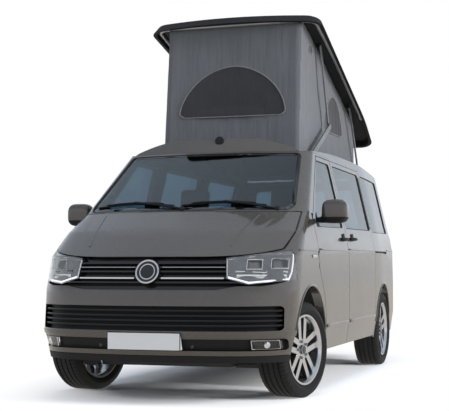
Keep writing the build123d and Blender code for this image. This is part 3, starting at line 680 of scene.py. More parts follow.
def blend(tree: Tree, share: object, first: object, second: object) -> Socket:
    """Adds a mix of two colours to a tree.

    Args:
        tree: the tree.
        share: how much of the second colour shows.
        first: one colour, a socket or a value.
        second: the other colour.

    Returns:
        The mixed colour.
    """
    return add_node(tree, "Mix", {"data_type": "RGBA"}, i0=share, i6=first, i7=second).outputs[2]


def mix_shaders(
    tree: Tree, share: Socket, first: Node, second: Node
) -> Node:
    """Adds a mix of two shaders to a tree.

    Args:
        tree: the tree.
        share: how much of the second shader shows.
        first: one shader.
        second: the other shader.

    Returns:
        The node that mixes them.
    """
    return add_node(tree, "MixShader", i0=share, i1=first.outputs[0], i2=second.outputs[0])


def set_inputs(node: Node, values: dict[str, object]) -> None:
    """Sets a node's inputs by name.

    Args:
        node: the shader node.
        values: each input's name with its value; a tuple is a colour without its alpha.
    """
    for label, value in values.items():
        node.inputs[label].default_value = (*value, 1) if isinstance(value, tuple) else value


def new_material(name: str) -> tuple[Material, Tree, Node]:
    """Starts a material.

    Args:
        name: the material's name.

    Returns:
        The material, its tree and its main shader.
    """
    material = bpy.data.materials.new(name)
    material.use_nodes = True
    return material, material.node_tree, material.node_tree.nodes["Principled BSDF"]


def surface_group() -> Group:
    """Fine grain and slow colour changes that every moulded or painted surface shows."""
    group = Group(
        "Surface life",
        {
            "Colour": (0.5, 0.5, 0.5),
            "Roughness": 0.4,
            "Variation": 0.1,
            "Grain Scale": 900.0,
            "Patch Scale": 3.0,
        },
        ("Out Colour", "Out Roughness", "Height"),
    )
    place = group.add("TexCoord").outputs["Object"]
    grain, patches = group.taken("Grain Scale"), group.taken("Patch Scale")
    fine = group.add("TexNoise", Vector=place, Scale=grain, Detail=3.0, Roughness=0.6).outputs["Fac"]
    slow = group.add("TexNoise", Vector=place, Scale=patches, Detail=4.0, Roughness=0.55).outputs["Fac"]
    signed = group.calc("SUBTRACT", group.calc("MULTIPLY_ADD", fine, 0.5, slow), 0.75)
    swing = group.calc("MULTIPLY", signed, group.taken("Variation"))
    bright = group.calc("ADD", swing, 1.0)
    colour = group.add("HueSaturation", Color=group.taken("Colour"), Value=bright).outputs[0]
    rough = group.calc("ADD", group.taken("Roughness"), swing, clamp=True)
    group.out(**{"Out Colour": colour, "Out Roughness": rough, "Height": fine})
    return group


def weave_group() -> Group:
    """Crossing threads of a woven cloth on the three main directions."""
    group = Group(
        "Woven threads",
        {"Colour": (0.1, 0.1, 0.1), "Thread Colour": (0.2, 0.2, 0.2), "Threads": 700.0, "Fade": 0.35},
        ("Out Colour", "Height"),
    )
    place = group.add("TexCoord").outputs["Object"]
    waves = [
        group.add(
            "TexWave",
            {"bands_direction": way, "wave_type": "BANDS"},
            Vector=place,
            Scale=group.taken("Threads"),
            Distortion=0.6,
            Detail=1.0,
        ).outputs["Fac"]
        for way in ("X", "Y", "Z")
    ]
    cross = group.calc("MAXIMUM", group.calc("MULTIPLY", waves[0], waves[2]), waves[1])
    slow = group.add("TexNoise", Vector=place, Scale=6.0, Detail=5.0).outputs["Fac"]
    fade = group.calc("MULTIPLY", group.calc("MULTIPLY", cross, slow), group.taken("Fade"))
    colour = blend(group.tree, fade, group.taken("Colour"), group.taken("Thread Colour"))
    group.out(**{"Out Colour": colour, "Height": cross})
    return group


def flake_group() -> Group:
    """Metal flakes in a car's base coat."""
    group = Group(
        "Metal flakes",
        {"Colour": (0.2, 0.2, 0.2), "Flake Colour": (0.5, 0.5, 0.5), "Amount": 0.3, "Flakes": 1600.0},
        ("Out Colour", "Out Roughness"),
    )
    place = group.add("TexCoord").outputs["Object"]
    flakes = group.add("TexVoronoi", {"feature": "F1"}, Vector=place, Scale=group.taken("Flakes"))
    level = group.add("SeparateColor", i0=flakes.outputs["Color"]).outputs[0]
    bright = group.add("MapRange", i0=level, i1=0.55, i2=1.0, i3=0.0, i4=1.0).outputs[0]
    share = group.calc("MULTIPLY", bright, group.taken("Amount"))
    colour = blend(group.tree, share, group.taken("Colour"), group.taken("Flake Colour"))
    slow = group.add("TexNoise", Vector=place, Scale=1.7, Detail=3.0).outputs["Fac"]
    rough = group.add("MapRange", i0=slow, i1=0.3, i2=0.7, i3=0.24, i4=0.3).outputs[0]
    group.out(**{"Out Colour": colour, "Out Roughness": rough})
    return group


def tread_group() -> Group:
    """Cross cuts in a tyre's tread, drawn from its own map of turn and width."""
    group = Group(
        "Tyre tread",
        {"Cuts": 1.0, "Cut Share": 0.2, "Middle": 0.03, "Shoulder": 0.13, "Slant": 6.0},
        ("Cut", "Height"),
    )
    place = group.add("UVMap", {"uv_map": "tread"}).outputs["UV"]
    turn, across, _ = group.add("SeparateXYZ", i0=place).outputs
    slanted = group.calc("MULTIPLY_ADD", across, group.taken("Slant"), turn)
    share = group.calc("FRACT", group.calc("MULTIPLY", slanted, group.taken("Cuts")))
    thin = group.calc("LESS_THAN", share, group.taken("Cut Share"))
    wide = group.calc("ABSOLUTE", across)
    inside = group.calc("GREATER_THAN", wide, group.taken("Middle"))
    within = group.calc("LESS_THAN", wide, group.taken("Shoulder"))
    cut = group.calc("MULTIPLY", thin, group.calc("MULTIPLY", inside, within))
    group.out(**{"Cut": cut, "Height": group.calc("SUBTRACT", 1.0, cut)})
    return group


@dataclass(frozen=True)
class Finish:
    """A plain finish with grain: how it looks, not what it is on."""

    name: str
    colour: Point
    roughness: float
    metallic: float = 0.0
    coat: float = 0.0
    coat_roughness: float = 0.04
    bump: float = 0.0
    bump_depth: float = 0.0006
    grain_scale: float = 900.0
    variation: float = 0.12
    transmission: float = 0.0
    emission: float = 0.0
    specular: float = 0.5

    def make(self, surface: Group) -> Material:
        """Builds the finish.

        Args:
            surface: the surface group, used where the finish varies.

        Returns:
            The material.
        """
        material, tree, shader = new_material(self.name)
        values = {
            "Base Color": self.colour,
            "Roughness": self.roughness,
            "Metallic": self.metallic,
            "Specular IOR Level": self.specular,
            "Coat Weight": self.coat,
            "Coat Roughness": self.coat_roughness,
            "Transmission Weight": self.transmission,
        }
        if self.emission:
            values |= {"Emission Color": self.colour, "Emission Strength": self.emission}
        set_inputs(shader, values)
        if self.variation:
            self.vary(tree, shader, surface)
        return material

    def vary(self, tree: Tree, shader: Node, surface: Group) -> None:
        """Lets colour, roughness and height change over the surface.

        Args:
            tree: the material's tree.
            shader: its main shader.
            surface: the surface group.
        """
        life = add_node(tree, "Group", {"node_tree": surface.tree})
        values = {
            "Colour": self.colour,
            "Roughness": self.roughness,
            "Variation": self.variation,
            "Grain Scale": self.grain_scale,
        }
        set_inputs(life, values)
        tree.links.new(life.outputs["Out Colour"], shader.inputs["Base Color"])
        tree.links.new(life.outputs["Out Roughness"], shader.inputs["Roughness"])
        if self.bump:
            height = life.outputs["Height"]
            relief = add_node(tree, "Bump", Height=height, Strength=self.bump, Distance=self.bump_depth)
            tree.links.new(relief.outputs["Normal"], shader.inputs["Normal"])


@dataclass(frozen=True)
class CarPaint:
    """The bronze-grey metallic body paint under clear lacquer."""

    colour: Point = (0.058, 0.052, 0.047)
    flake_colour: Point = (0.3, 0.265, 0.235)
    flake_amount: float = 0.4
    metallic: float = 0.55
    lacquer: float = 0.9
    lacquer_roughness: float = 0.03

    def make(self, flakes: Group) -> Material:
        """Builds the paint.

        Args:
            flakes: the metal flake group.

        Returns:
            The material.
        """
        material, tree, shader = new_material("body paint")
        coat = add_node(tree, "Group", {"node_tree": flakes.tree})
        values = {"Colour": self.colour, "Flake Colour": self.flake_colour, "Amount": self.flake_amount}
        set_inputs(coat, values)
        tree.links.new(coat.outputs["Out Colour"], shader.inputs["Base Color"])
        tree.links.new(coat.outputs["Out Roughness"], shader.inputs["Roughness"])
        values = {
            "Metallic": self.metallic,
            "Coat Weight": self.lacquer,
            "Coat Roughness": self.lacquer_roughness,
        }
        set_inputs(shader, values)
        return material


@dataclass(frozen=True)
class TyreRubber:
    """Tyre rubber with cross cuts in its tread, painted darker inside as painted shade."""

    plain: Finish
    cut_shade_colour: Point = (0.002, 0.002, 0.002)
    cut_strength: float = 0.8
    cut_depth: float = 0.004

    def make(self, surface: Group, tread: Group) -> Material:
        """Builds the rubber.

        Args:
            surface: the surface group.
            tread: the tread group.

        Returns:
            The material.
        """
        material = self.plain.make(surface)
        tree = material.node_tree
        shader = tree.nodes["Principled BSDF"]
        cuts = add_node(tree, "Group", {"node_tree": tread.tree})
        rubber = shader.inputs["Base Color"].links[0].from_socket
        # Painted shade: the cross cuts are only a bump, so the dark colour in them stands in for the shade
        # inside the grooves.
        shade = blend(tree, cuts.outputs["Cut"], rubber, (*self.cut_shade_colour, 1))
        tree.links.new(shade, shader.inputs["Base Color"])
        height = cuts.outputs["Height"]
        relief = add_node(tree, "Bump", Height=height, Strength=self.cut_strength, Distance=self.cut_depth)
        tree.links.new(relief.outputs["Normal"], shader.inputs["Normal"])
        return material


@dataclass(frozen=True)
class Cloth:
    """A woven cloth with wrinkles drawn upright."""

    name: str
    colour: Point
    thread_colour: Point
    threads: float
    roughness: float = 0.82
    sheen: float = 0.25
    wrinkles: Point = (19.0, 19.0, 1.8)
    wrinkle_strength: float = 0.5
    wrinkle_depth: float = 0.02
    weave_strength: float = 0.35
    weave_depth: float = 0.0005

    def make(self, weave: Group) -> Material:
        """Builds the cloth.

        Args:
            weave: the weave group.

        Returns:
            The material.
        """
        material, tree, shader = new_material(self.name)
        cloth = add_node(tree, "Group", {"node_tree": weave.tree})
        values = {"Colour": self.colour, "Thread Colour": self.thread_colour, "Threads": self.threads}
        set_inputs(cloth, values)
        tree.links.new(cloth.outputs["Out Colour"], shader.inputs["Base Color"])
        set_inputs(shader, {"Roughness": self.roughness, "Sheen Weight": self.sheen})
        place = add_node(tree, "TexCoord").outputs["Object"]
        drawn = add_node(tree, "VectorMath", {"operation": "MULTIPLY"}, i0=place, i1=self.wrinkles).outputs[0]
        folds = add_node(tree, "TexNoise", Vector=drawn, Scale=1.0, Detail=3.0).outputs["Fac"]
        normal = None
        for height, strength, depth in (
            (folds, self.wrinkle_strength, self.wrinkle_depth),
            (cloth.outputs["Height"], self.weave_strength, self.weave_depth),
        ):
            relief = add_node(tree, "Bump", Height=height, Strength=strength, Distance=depth)
            if normal is not None:
                tree.links.new(normal, relief.inputs["Normal"])
            normal = relief.outputs["Normal"]
        tree.links.new(normal, shader.inputs["Normal"])
        return material


@dataclass
class Finishes:
    """All the van's materials."""

    made: dict[str, Material] = field(default_factory=dict)

    def build(self) -> None:
        """Makes every material once."""
        surface, weave = surface_group(), weave_group()
        for finish in (
            Finish("black plastic", (0.009, 0.009, 0.01), 0.55, bump=0.35, grain_scale=700, specular=0.25),
            Finish("gloss black", (0.006, 0.006, 0.007), 0.16, coat=0.6, variation=0.05),
            Finish("chrome strip", (0.78, 0.78, 0.79), 0.14, metallic=1.0, variation=0.04),
            Finish("satin silver", (0.46, 0.46, 0.47), 0.34, metallic=0.9, bump=0.08),
            Finish("alloy face", (0.7, 0.71, 0.73), 0.24, metallic=0.95, coat=0.5, variation=0.06),
            Finish("alloy recess", (0.02, 0.02, 0.022), 0.35, coat=0.3),
            Finish("soft seal", (0.01, 0.01, 0.011), 0.6, bump=0.2),
            Finish("lamp bowl", (0.14, 0.15, 0.165), 0.28, metallic=0.7, variation=0.1),
            Finish("lamp mirror", (0.8, 0.81, 0.83), 0.08, metallic=1.0, variation=0.03),
            Finish("lamp clear", (0.93, 0.95, 0.97), 0.02, transmission=1.0, variation=0.0),
            Finish("lamp light", (0.95, 0.96, 1.0), 0.2, emission=0.7, variation=0.0),
            Finish("lamp red", (0.42, 0.008, 0.012), 0.12, coat=0.8, variation=0.08),
            Finish("window glass", (0.2, 0.29, 0.36), 0.02, transmission=1.0, variation=0.0),
            Finish("plate white", (0.6, 0.6, 0.6), 0.4, coat=0.3, variation=0.05),
            Finish("cabin trim", (0.035, 0.036, 0.04), 0.62, bump=0.5, grain_scale=500),
            Finish("cabinet board", (0.42, 0.4, 0.36), 0.42, bump=0.1, variation=0.15),
            # The dark coat of the floor pan and inner structure, made darker still as painted shade for the
            # wheel wells and the cabin seen through the glass.
            Finish("primer", (0.04, 0.038, 0.036), 0.55, variation=0.15),
            Finish("cast iron", (0.06, 0.06, 0.062), 0.6, 0.6, bump=0.6, grain_scale=240, variation=0.3),
            Finish("worn steel", (0.32, 0.32, 0.33), 0.36, metallic=0.95, bump=0.15, variation=0.2),
        ):
            self.made[finish.name] = finish.make(surface)
        self.made["paint"] = CarPaint().make(flake_group())
        black = (0.015, 0.015, 0.016)
        base = Finish("tyre rubber", black, 0.66, grain_scale=420, variation=0.2, specular=0.3)
        self.made[base.name] = TyreRubber(base).make(surface, tread_group())
        for cloth in (
            Cloth("tent cloth", (0.074, 0.078, 0.086), (0.15, 0.157, 0.17), 520),
            Cloth("tent mesh", (0.012, 0.012, 0.014), (0.06, 0.06, 0.065), 900),
            Cloth("tent hem", (0.1, 0.1, 0.105), (0.2, 0.2, 0.21), 520),
            Cloth("seat cloth", (0.05, 0.05, 0.055), (0.16, 0.16, 0.17), 620),
        ):
            self.made[cloth.name] = cloth.make(weave)

    def __getitem__(self, name: str) -> Material:
        """A material by its name."""
        return self.made[name]


# Sub-assemblies


@dataclass
class Bodywork:
    """The painted panels and the solids that only need their finish."""

    shop: Finishes
    edge_round: float = 0.004
    edge_angle: float = 34
    shade_angle: float = 38
    lid_top_slope: float = 0.8
    hinged: tuple[str, ...] = ("front_door_left", "front_door_right", "wings")
    hinge_heights: tuple[float, ...] = (0.945, 1.042)
    hinge_reach: Spot = (0.05, 0.03)
    hinge_probe: Spot = (0.03, 0.035)
    hinge_sink: float = 0.0006
    panels: tuple[str, ...] = (
        "cab_frame",
        "roof_frame",
        "side_panel_left",
        "side_panel_right",
        "sliding_door",
        "wings",
        "front_bumper",
        "rear_bumper",
        "front_door_left",
        "front_door_right",
        "bonnet",
        "tailgate",
        "roof_lid",
    )
    plain: dict[str, str] = field(
        default_factory=lambda: {
            # The floor pan and inner structure take the dark coat that is partly painted shade.
            "primer": "floor_pan inner_frame front_structure",
            "window glass": "windscreen sliding_door_glass side_glass tailgate_glass "
            "front_door_glass_left front_door_glass_right",
            "worn steel": "arm_feet exhaust lift_arms lower_stays upper_stays",
            "cast iron": "engine front_axle rear_axle knuckle_left knuckle_right",
            "black plastic": "front_valance lower_grille fog_band arch_liners fuel_tank",
            "gloss black": "upper_grille",
            "lamp clear": "headlamp_lenses fog_lamps",
            "lamp bowl": "headlamp_bowls",
            "lamp red": "tail_lamps",
            "plate white": "number_plate",
            "cabin trim": "dashboard steering_wheel",
            "seat cloth": "front_seats rear_bench",
            "cabinet board": "kitchen",
            "tent cloth": "tent",
        }
    )

    def build(self) -> None:
        """Rounds the panels' edges and dresses all solids."""
        for finish, names in self.plain.items():
            for node in names.split():
                self.dress(node, finish)
        for node in ("door_mirror_left", "door_mirror_right"):
            self.dress(node, "paint")
        for end in ("front", "rear"):
            for hand in ("left", "right"):
                self.dress(f"rim_{end}_{hand}", "alloy face")
                self.dress(f"tyre_{end}_{hand}", "tyre rubber")
        for node in self.panels:
            self.panel(node)

    def dress(self, node: str, finish: str) -> None:
        """Gives a solid its finish.

        Args:
            node: the solid's name.
            finish: the material's name.
        """
        NODES[node].data.materials.clear()
        NODES[node].data.materials.append(self.shop[finish])

    def flush_hinges(self, skin: Piece) -> None:
        """Lays the barrels of the front doors' hinges flush with the wing.

        Args:
            skin: the panel.
        """
        joints = frame["record"]["behaviour"]["joints"]
        axis_x = next(joint["pos_m"][0] for joint in joints if joint["name"] == "front_door_left_swing")
        along, up = self.hinge_reach
        for z in self.hinge_heights:
            probe = (axis_x + self.hinge_probe[0], BESIDE, z + self.hinge_probe[1])
            level = cast(["wings"], probe, (0, -1, 0)).y - self.hinge_sink
            for vertex in skin.data.vertices:
                near = abs(vertex.co.x - axis_x) < along and abs(vertex.co.z - z) < up
                if near and abs(vertex.co.y) > level:
                    vertex.co.y = math.copysign(level, vertex.co.y)

    def panel(self, node: str) -> None:
        """A painted panel with rounded edges in place of its solid.

        Args:
            node: the solid's name.
        """
        skin = solid_copy(node, f"{node}_skin")
        bevel_edges(skin, self.edge_round, 2, self.edge_angle)
        settle(skin, f"{node}_skin", self.shop["paint"])
        if node in self.hinged:
            self.flush_hinges(skin)
        if node == "roof_lid":
            skin.data.materials.append(self.shop["black plastic"])
            for face in skin.data.polygons:
                face.material_index = int(face.normal.z < self.lid_top_slope)
        smooth(skin, self.shade_angle)
        modify(skin, "WEIGHTED_NORMAL", keep_sharp=True)
        seat(skin, body_of(node), "paint", node)


@dataclass
class FrontEnd:
    """Bright strips, lamps, number plate, wipers, creases and sensors of the nose."""

    shop: Finishes
    grille_half: float = 0.53
    strip_rows: tuple[tuple[float, str, float], ...] = (
        (0.935, "satin silver", 0.0025),
        (0.861, "chrome strip", 0.006),
    )
    strip_lift: float = 0.003
    strip_depth: float = 0.007
    slat_heights: tuple[float, ...] = (0.54, 0.573, 0.606, 0.64)
    slat_half: float = 0.88
    slat_edge: float = 0.0045
    slat_lift: float = 0.001
    slat_section: Spot = (0.0016, 0.003)
    blank_place: float = 0.903
    blank_radius: float = 0.086
    blank_depth: float = 0.012
    blank_gap: float = 0.012
    blank_probe: Spot = (0.05, 0.09)
    blank_lift: float = 0.004
    face_inset: float = 0.004
    outer_ring: Spot = (0.08, 0.007)
    inner_ring: Spot = (0.05332, 0.0045)
    lamp_lines: tuple[tuple[str, float, float, tuple[Spot, ...]], ...] = (
        ("lamp light", 0.002, 0.0075, ((0.556, 0.866), (0.69, 0.829), (0.8, 0.84), (0.905, 0.853))),
        ("lamp light", 0.002, 0.0065, ((0.905, 0.853), (0.914, 0.9), (0.916, 0.96), (0.912, 1.024))),
        ("lamp mirror", 0.001, 0.003, ((0.55, 0.985), (0.7, 1.004), (0.86, 1.026))),
        ("lamp mirror", 0.0, 0.008, ((0.6, 0.905), (0.76, 0.898), (0.895, 0.905))),
        ("lamp mirror", 0.001, 0.004, ((0.552, 0.87), (0.545, 0.92), (0.54, 0.985))),
    )
    lamp_step: tuple[Spot, ...] = ((0.61, 0.872), (0.76, 0.862), (0.895, 0.872))
    step_lift: float = 0.002
    step_section: Spot = (0.013, 0.006)
    cells: tuple[tuple[float, float, float, float], ...] = (
        (0.672, 0.757, 0.924, 0.981),
        (0.813, 0.893, 0.93, 0.987),
    )
    cell_grow: float = 0.004
    cell_lift: float = 0.001
    cell_edge: float = 0.0065
    eye_inset: Spot = (0.014, 0.01)
    eye_layers: tuple[tuple[str, float, float, float], ...] = (
        ("lamp clear", 0.02, 0.002, 0.007),
        ("lamp mirror", 0.024, 0.021, 0.001),
    )
    fog_corners: tuple[Spot, ...] = ((0.712, 0.384), (0.866, 0.384), (0.866, 0.442), (0.712, 0.442))
    fog_eye: Spot = (0.8, 0.412)
    fog_eye_size: Spot = (0.023, 0.006)
    fog_frame: float = 0.0045
    fog_lift: float = 0.002
    holder_edge: float = 0.006
    wiper_spans: tuple[Point, ...] = ((-0.74, -0.06, 0.02), (0.0, 0.62, 0.7))
    wiper_height: float = 1.392
    wiper_bow: float = 0.02
    wiper_foot: float = 1.365
    wiper_lift: float = 0.012
    spine_shift: Spot = (0.008, 0.01)
    spine_radius: float = 0.005
    boss_lift: float = 0.014
    boss_size: Spot = (0.018, 0.02)
    boss_lean: Point = (1, 0, 0.8)
    crease_ends: Spot = (2.16, 1.7)
    crease_half: float = 0.53
    crease_spread: float = 0.16
    crease_radius: float = 0.008
    sensor_places: tuple[float, ...] = (-0.35, 0.32)
    sensor_height: float = 0.4
    sensor_size: Spot = (0.013, 0.006)

    def build(self) -> None:
        """Builds the nose's trim."""
        self.strips()
        self.blank()
        for hand in Hand:
            self.lamp(hand)
            self.fog(hand)
        self.plate()
        self.wipers()
        self.creases()
        self.sensors()

    def strips(self) -> None:
        """The bright strips of the upper grille and the edges of the lower one's slats."""
        made = []
        gap = self.blank_radius + self.blank_gap
        for z, finish, half in self.strip_rows:
            for hand in Hand:
                spots = [(hand.value * y, z) for y in steps(gap, self.grille_half, 12)]
                points = nose_line(["upper_grille"], spots, self.strip_lift)
                made.append(ribbon_piece("strip", points, half, self.strip_depth, self.shop[finish]))
        seat(join("upper_grille_strips", made), "body", "alloy")
        made = []
        for z in self.slat_heights:
            spots = [(y, z + self.slat_edge) for y in steps(-self.slat_half, self.slat_half, 31)]
            points = nose_line(["lower_grille"], spots, self.slat_lift)
            made.append(ribbon_piece("strip", points, *self.slat_section, self.shop["gloss black"]))
        seat(join("lower_grille_strips", made), "body", "gloss_black")

    def blank(self) -> None:
        """The plain round blank in the upper grille, which leans as the grille does."""
        near, far = self.blank_probe
        edges = []
        for way in (-1, 1):
            heights = steps(self.blank_place + way * near, self.blank_place + way * far, 9)
            edges.append(max(cast(["upper_grille"], (AHEAD, 0, z), (-1, 0, 0)).x for z in heights))
        lean = Vector((near + far, 0, edges[0] - edges[1])).normalized()
        middle = Vector((sum(edges) / 2 + self.blank_lift, 0, self.blank_place))
        radius, black = self.blank_radius - self.face_inset, self.shop["gloss black"]
        made = [disc_piece("blank", middle, lean, radius, self.blank_depth, black, 64)]
        place = middle + lean * self.blank_depth / 2
        for ring in (self.outer_ring, self.inner_ring):
            made.append(ring_piece("ring", place, lean, *ring, self.shop["chrome strip"]))
        seat(join("grille_blank", made), "body", "gloss_black")

    def lamp(self, hand: Hand) -> None:
        """Light strip, projectors and bright edges inside one headlamp.

        Args:
            hand: the lamp's side.
        """

        def line(spots: Sequence[Spot], lift: float) -> list[Point]:
            """Points on the bowl of this side."""
            return nose_line(["headlamp_bowls"], [(hand.value * y, z) for y, z in spots], lift)

        mirror = self.shop["lamp mirror"]
        made = []
        for finish, lift, radius, spots in self.lamp_lines:
            made.append(tube_piece("line", line(spots, lift), radius, self.shop[finish]))
        made.append(ribbon_piece("step", line(self.lamp_step, self.step_lift), *self.step_section, mirror))
        grow = self.cell_grow
        inset_y, inset_z = self.eye_inset
        for y_low, y_high, z_low, z_high in self.cells:
            inner, outer, foot, top = y_low - grow, y_high + grow, z_low - grow, z_high + grow
            corners = line(((inner, foot), (outer, foot), (outer, top), (inner, top)), self.cell_lift)
            made.append(tube_piece("cell", corners, self.cell_edge, mirror, True))
            x = min(corner[0] for corner in corners)
            for finish, back, front, round_by in self.eye_layers:
                low = (x - back, y_low + inset_y, z_low + inset_z)
                high = (x - front, y_high - inset_y, z_high - inset_z)
                made.append(sided_box("eye", low, high, hand, self.shop[finish], round_by))
        seat(join(f"headlamp_inside_{hand.name.lower()}", made), "body", "lamp_bowl")

    def fog(self, hand: Hand) -> None:
        """The frame and lens of one fog lamp.

        Args:
            hand: the lamp's side.
        """
        spots = [(hand.value * y, z) for y, z in (*self.fog_corners, self.fog_eye)]
        *corners, middle = nose_line(["fog_lamps", "fog_band"], spots, self.fog_lift)
        rim = tube_piece("frame", corners, self.fog_frame, self.shop["chrome strip"], True)
        eye = disc_piece("eye", middle, (1, 0, 0), *self.fog_eye_size, self.shop["lamp mirror"])
        seat(join(f"fog_lamp_trim_{hand.name.lower()}", [rim, eye]), "body", "alloy")

    def plate(self) -> None:
        """The blank plate's dark holder."""
        low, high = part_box("number_plate")
        x = high[0] - self.holder_edge
        corners = [(x, low[1], low[2]), (x, high[1], low[2]), (x, high[1], high[2]), (x, low[1], high[2])]
        holder = tube_piece("plate_holder", corners, self.holder_edge, self.shop["black plastic"], True)
        seat(holder, "body", "dark_plastic")

    def wipers(self) -> None:
        """Two wipers that lie along the foot of the windscreen."""
        glass, black = ["windscreen"], self.shop["black plastic"]
        rise = Vector((self.wiper_lift, 0, self.wiper_lift))
        made = []
        for start, end, pivot in self.wiper_spans:
            spots = []
            for y in steps(start, end, 9):
                bow = math.sin(math.pi * (y - start) / (end - start))
                spots.append((y, self.wiper_height + self.wiper_bow * bow))
            blade = nose_line(glass, spots, self.wiper_lift)
            made.append(tube_piece("blade", blade, WIPER_BLADE, black))
            out, up = self.spine_shift
            spine = [(x + out, y, z + up) for x, y, z in blade[1:-1]]
            made.append(tube_piece("spine", spine, self.spine_radius, black))
            foot = Vector(nose_line(glass, [(pivot, self.wiper_foot)], self.boss_lift)[0])
            middle = Vector(blade[len(blade) // 2])
            arm = [foot, (foot + middle) / 2 + rise, middle + rise]
            made.append(tube_piece("arm", arm, WIPER_ARM, black))
            made.append(disc_piece("boss", foot, self.boss_lean, *self.boss_size, black, 24))
        seat(join("wipers", made), "body", "dark_plastic")

    def creases(self) -> None:
        """The two creases along the bonnet."""
        front, rear = self.crease_ends
        made = []
        for hand in Hand:
            points = []
            for x in steps(front, rear, 14):
                y = hand.value * (self.crease_half + self.crease_spread * (front - x))
                place = cast(["bonnet"], (x, y, ABOVE), (0, 0, -1))
                points.append((place.x, place.y, place.z - self.crease_radius / 2))
            made.append(tube_piece("crease", points, self.crease_radius, self.shop["paint"]))
        seat(join("bonnet_creases", made), "bonnet", "paint")

    def sensors(self) -> None:
        """Round parking sensors in the dark band."""
        made = []
        for place in nose_line(["fog_band"], [(y, self.sensor_height) for y in self.sensor_places], 0.0):
            black = self.shop["gloss black"]
            made.append(disc_piece("sensor", place, (1, 0, 0), *self.sensor_size, black, 32))
        seat(join("parking_sensors", made), "body", "gloss_black")


@dataclass
class Glazing:
    """Rubber seals round the panes and the dark border of the windscreen."""

    shop: Finishes
    seal_radius: float = 0.006
    rim_angle: float = 60
    border_width: float = 0.034
    border_facing: float = 0.4
    border_lift: Point = (0.0011, 0, 0.001)
    panes: tuple[str, ...] = (
        "windscreen",
        "sliding_door_glass",
        "side_glass",
        "tailgate_glass",
        "front_door_glass_left",
        "front_door_glass_right",
    )

    def build(self) -> None:
        """Builds a seal along every pane's rim."""
        for pane in self.panes:
            self.seal(pane)
        self.border("windscreen")

    def border(self, pane: str) -> None:
        """The baked black border along a pane's rim.

        Args:
            pane: the pane's name.
        """
        band = solid_copy(pane, f"{pane}_border")
        with editing(band) as mesh:
            choose(band, mesh, lambda face: face.normal.x < self.border_facing)
            bpy.ops.mesh.delete(type="FACE")
            bpy.ops.mesh.select_all(action="SELECT")
            bpy.ops.mesh.inset(thickness=self.border_width, use_boundary=True, use_even_offset=True)
            bpy.ops.mesh.delete(type="FACE")
        for vertex in band.data.vertices:
            vertex.co += Vector(self.border_lift)
        settle(band, f"{pane}_border", self.shop["gloss black"])
        seat(band, body_of(pane), "gloss_black")

    def seal(self, pane: str) -> None:
        """A rubber bead along the sharp rims of one pane.

        Args:
            pane: the pane's name.
        """
        bead = solid_copy(pane, f"{pane}_seal")
        with editing(bead, "EDGE"):
            bpy.ops.mesh.edges_select_sharp(sharpness=math.radians(self.rim_angle))
            bpy.ops.mesh.select_all(action="INVERT")
            bpy.ops.mesh.delete(type="EDGE")
            bpy.ops.mesh.select_all(action="SELECT")
            bpy.ops.mesh.delete(type="ONLY_FACE")
        pick(bead)
        bpy.ops.object.convert(target="CURVE")
        bead = bpy.context.object
        bead.data.bevel_depth = self.seal_radius
        bead.data.bevel_resolution = 1
        bpy.ops.object.convert(target="MESH")
        bead = bpy.context.object
        settle(bead, f"{pane}_seal", self.shop["soft seal"])
        smooth(bead, 60)
        seat(bead, body_of(pane), "dark_plastic")


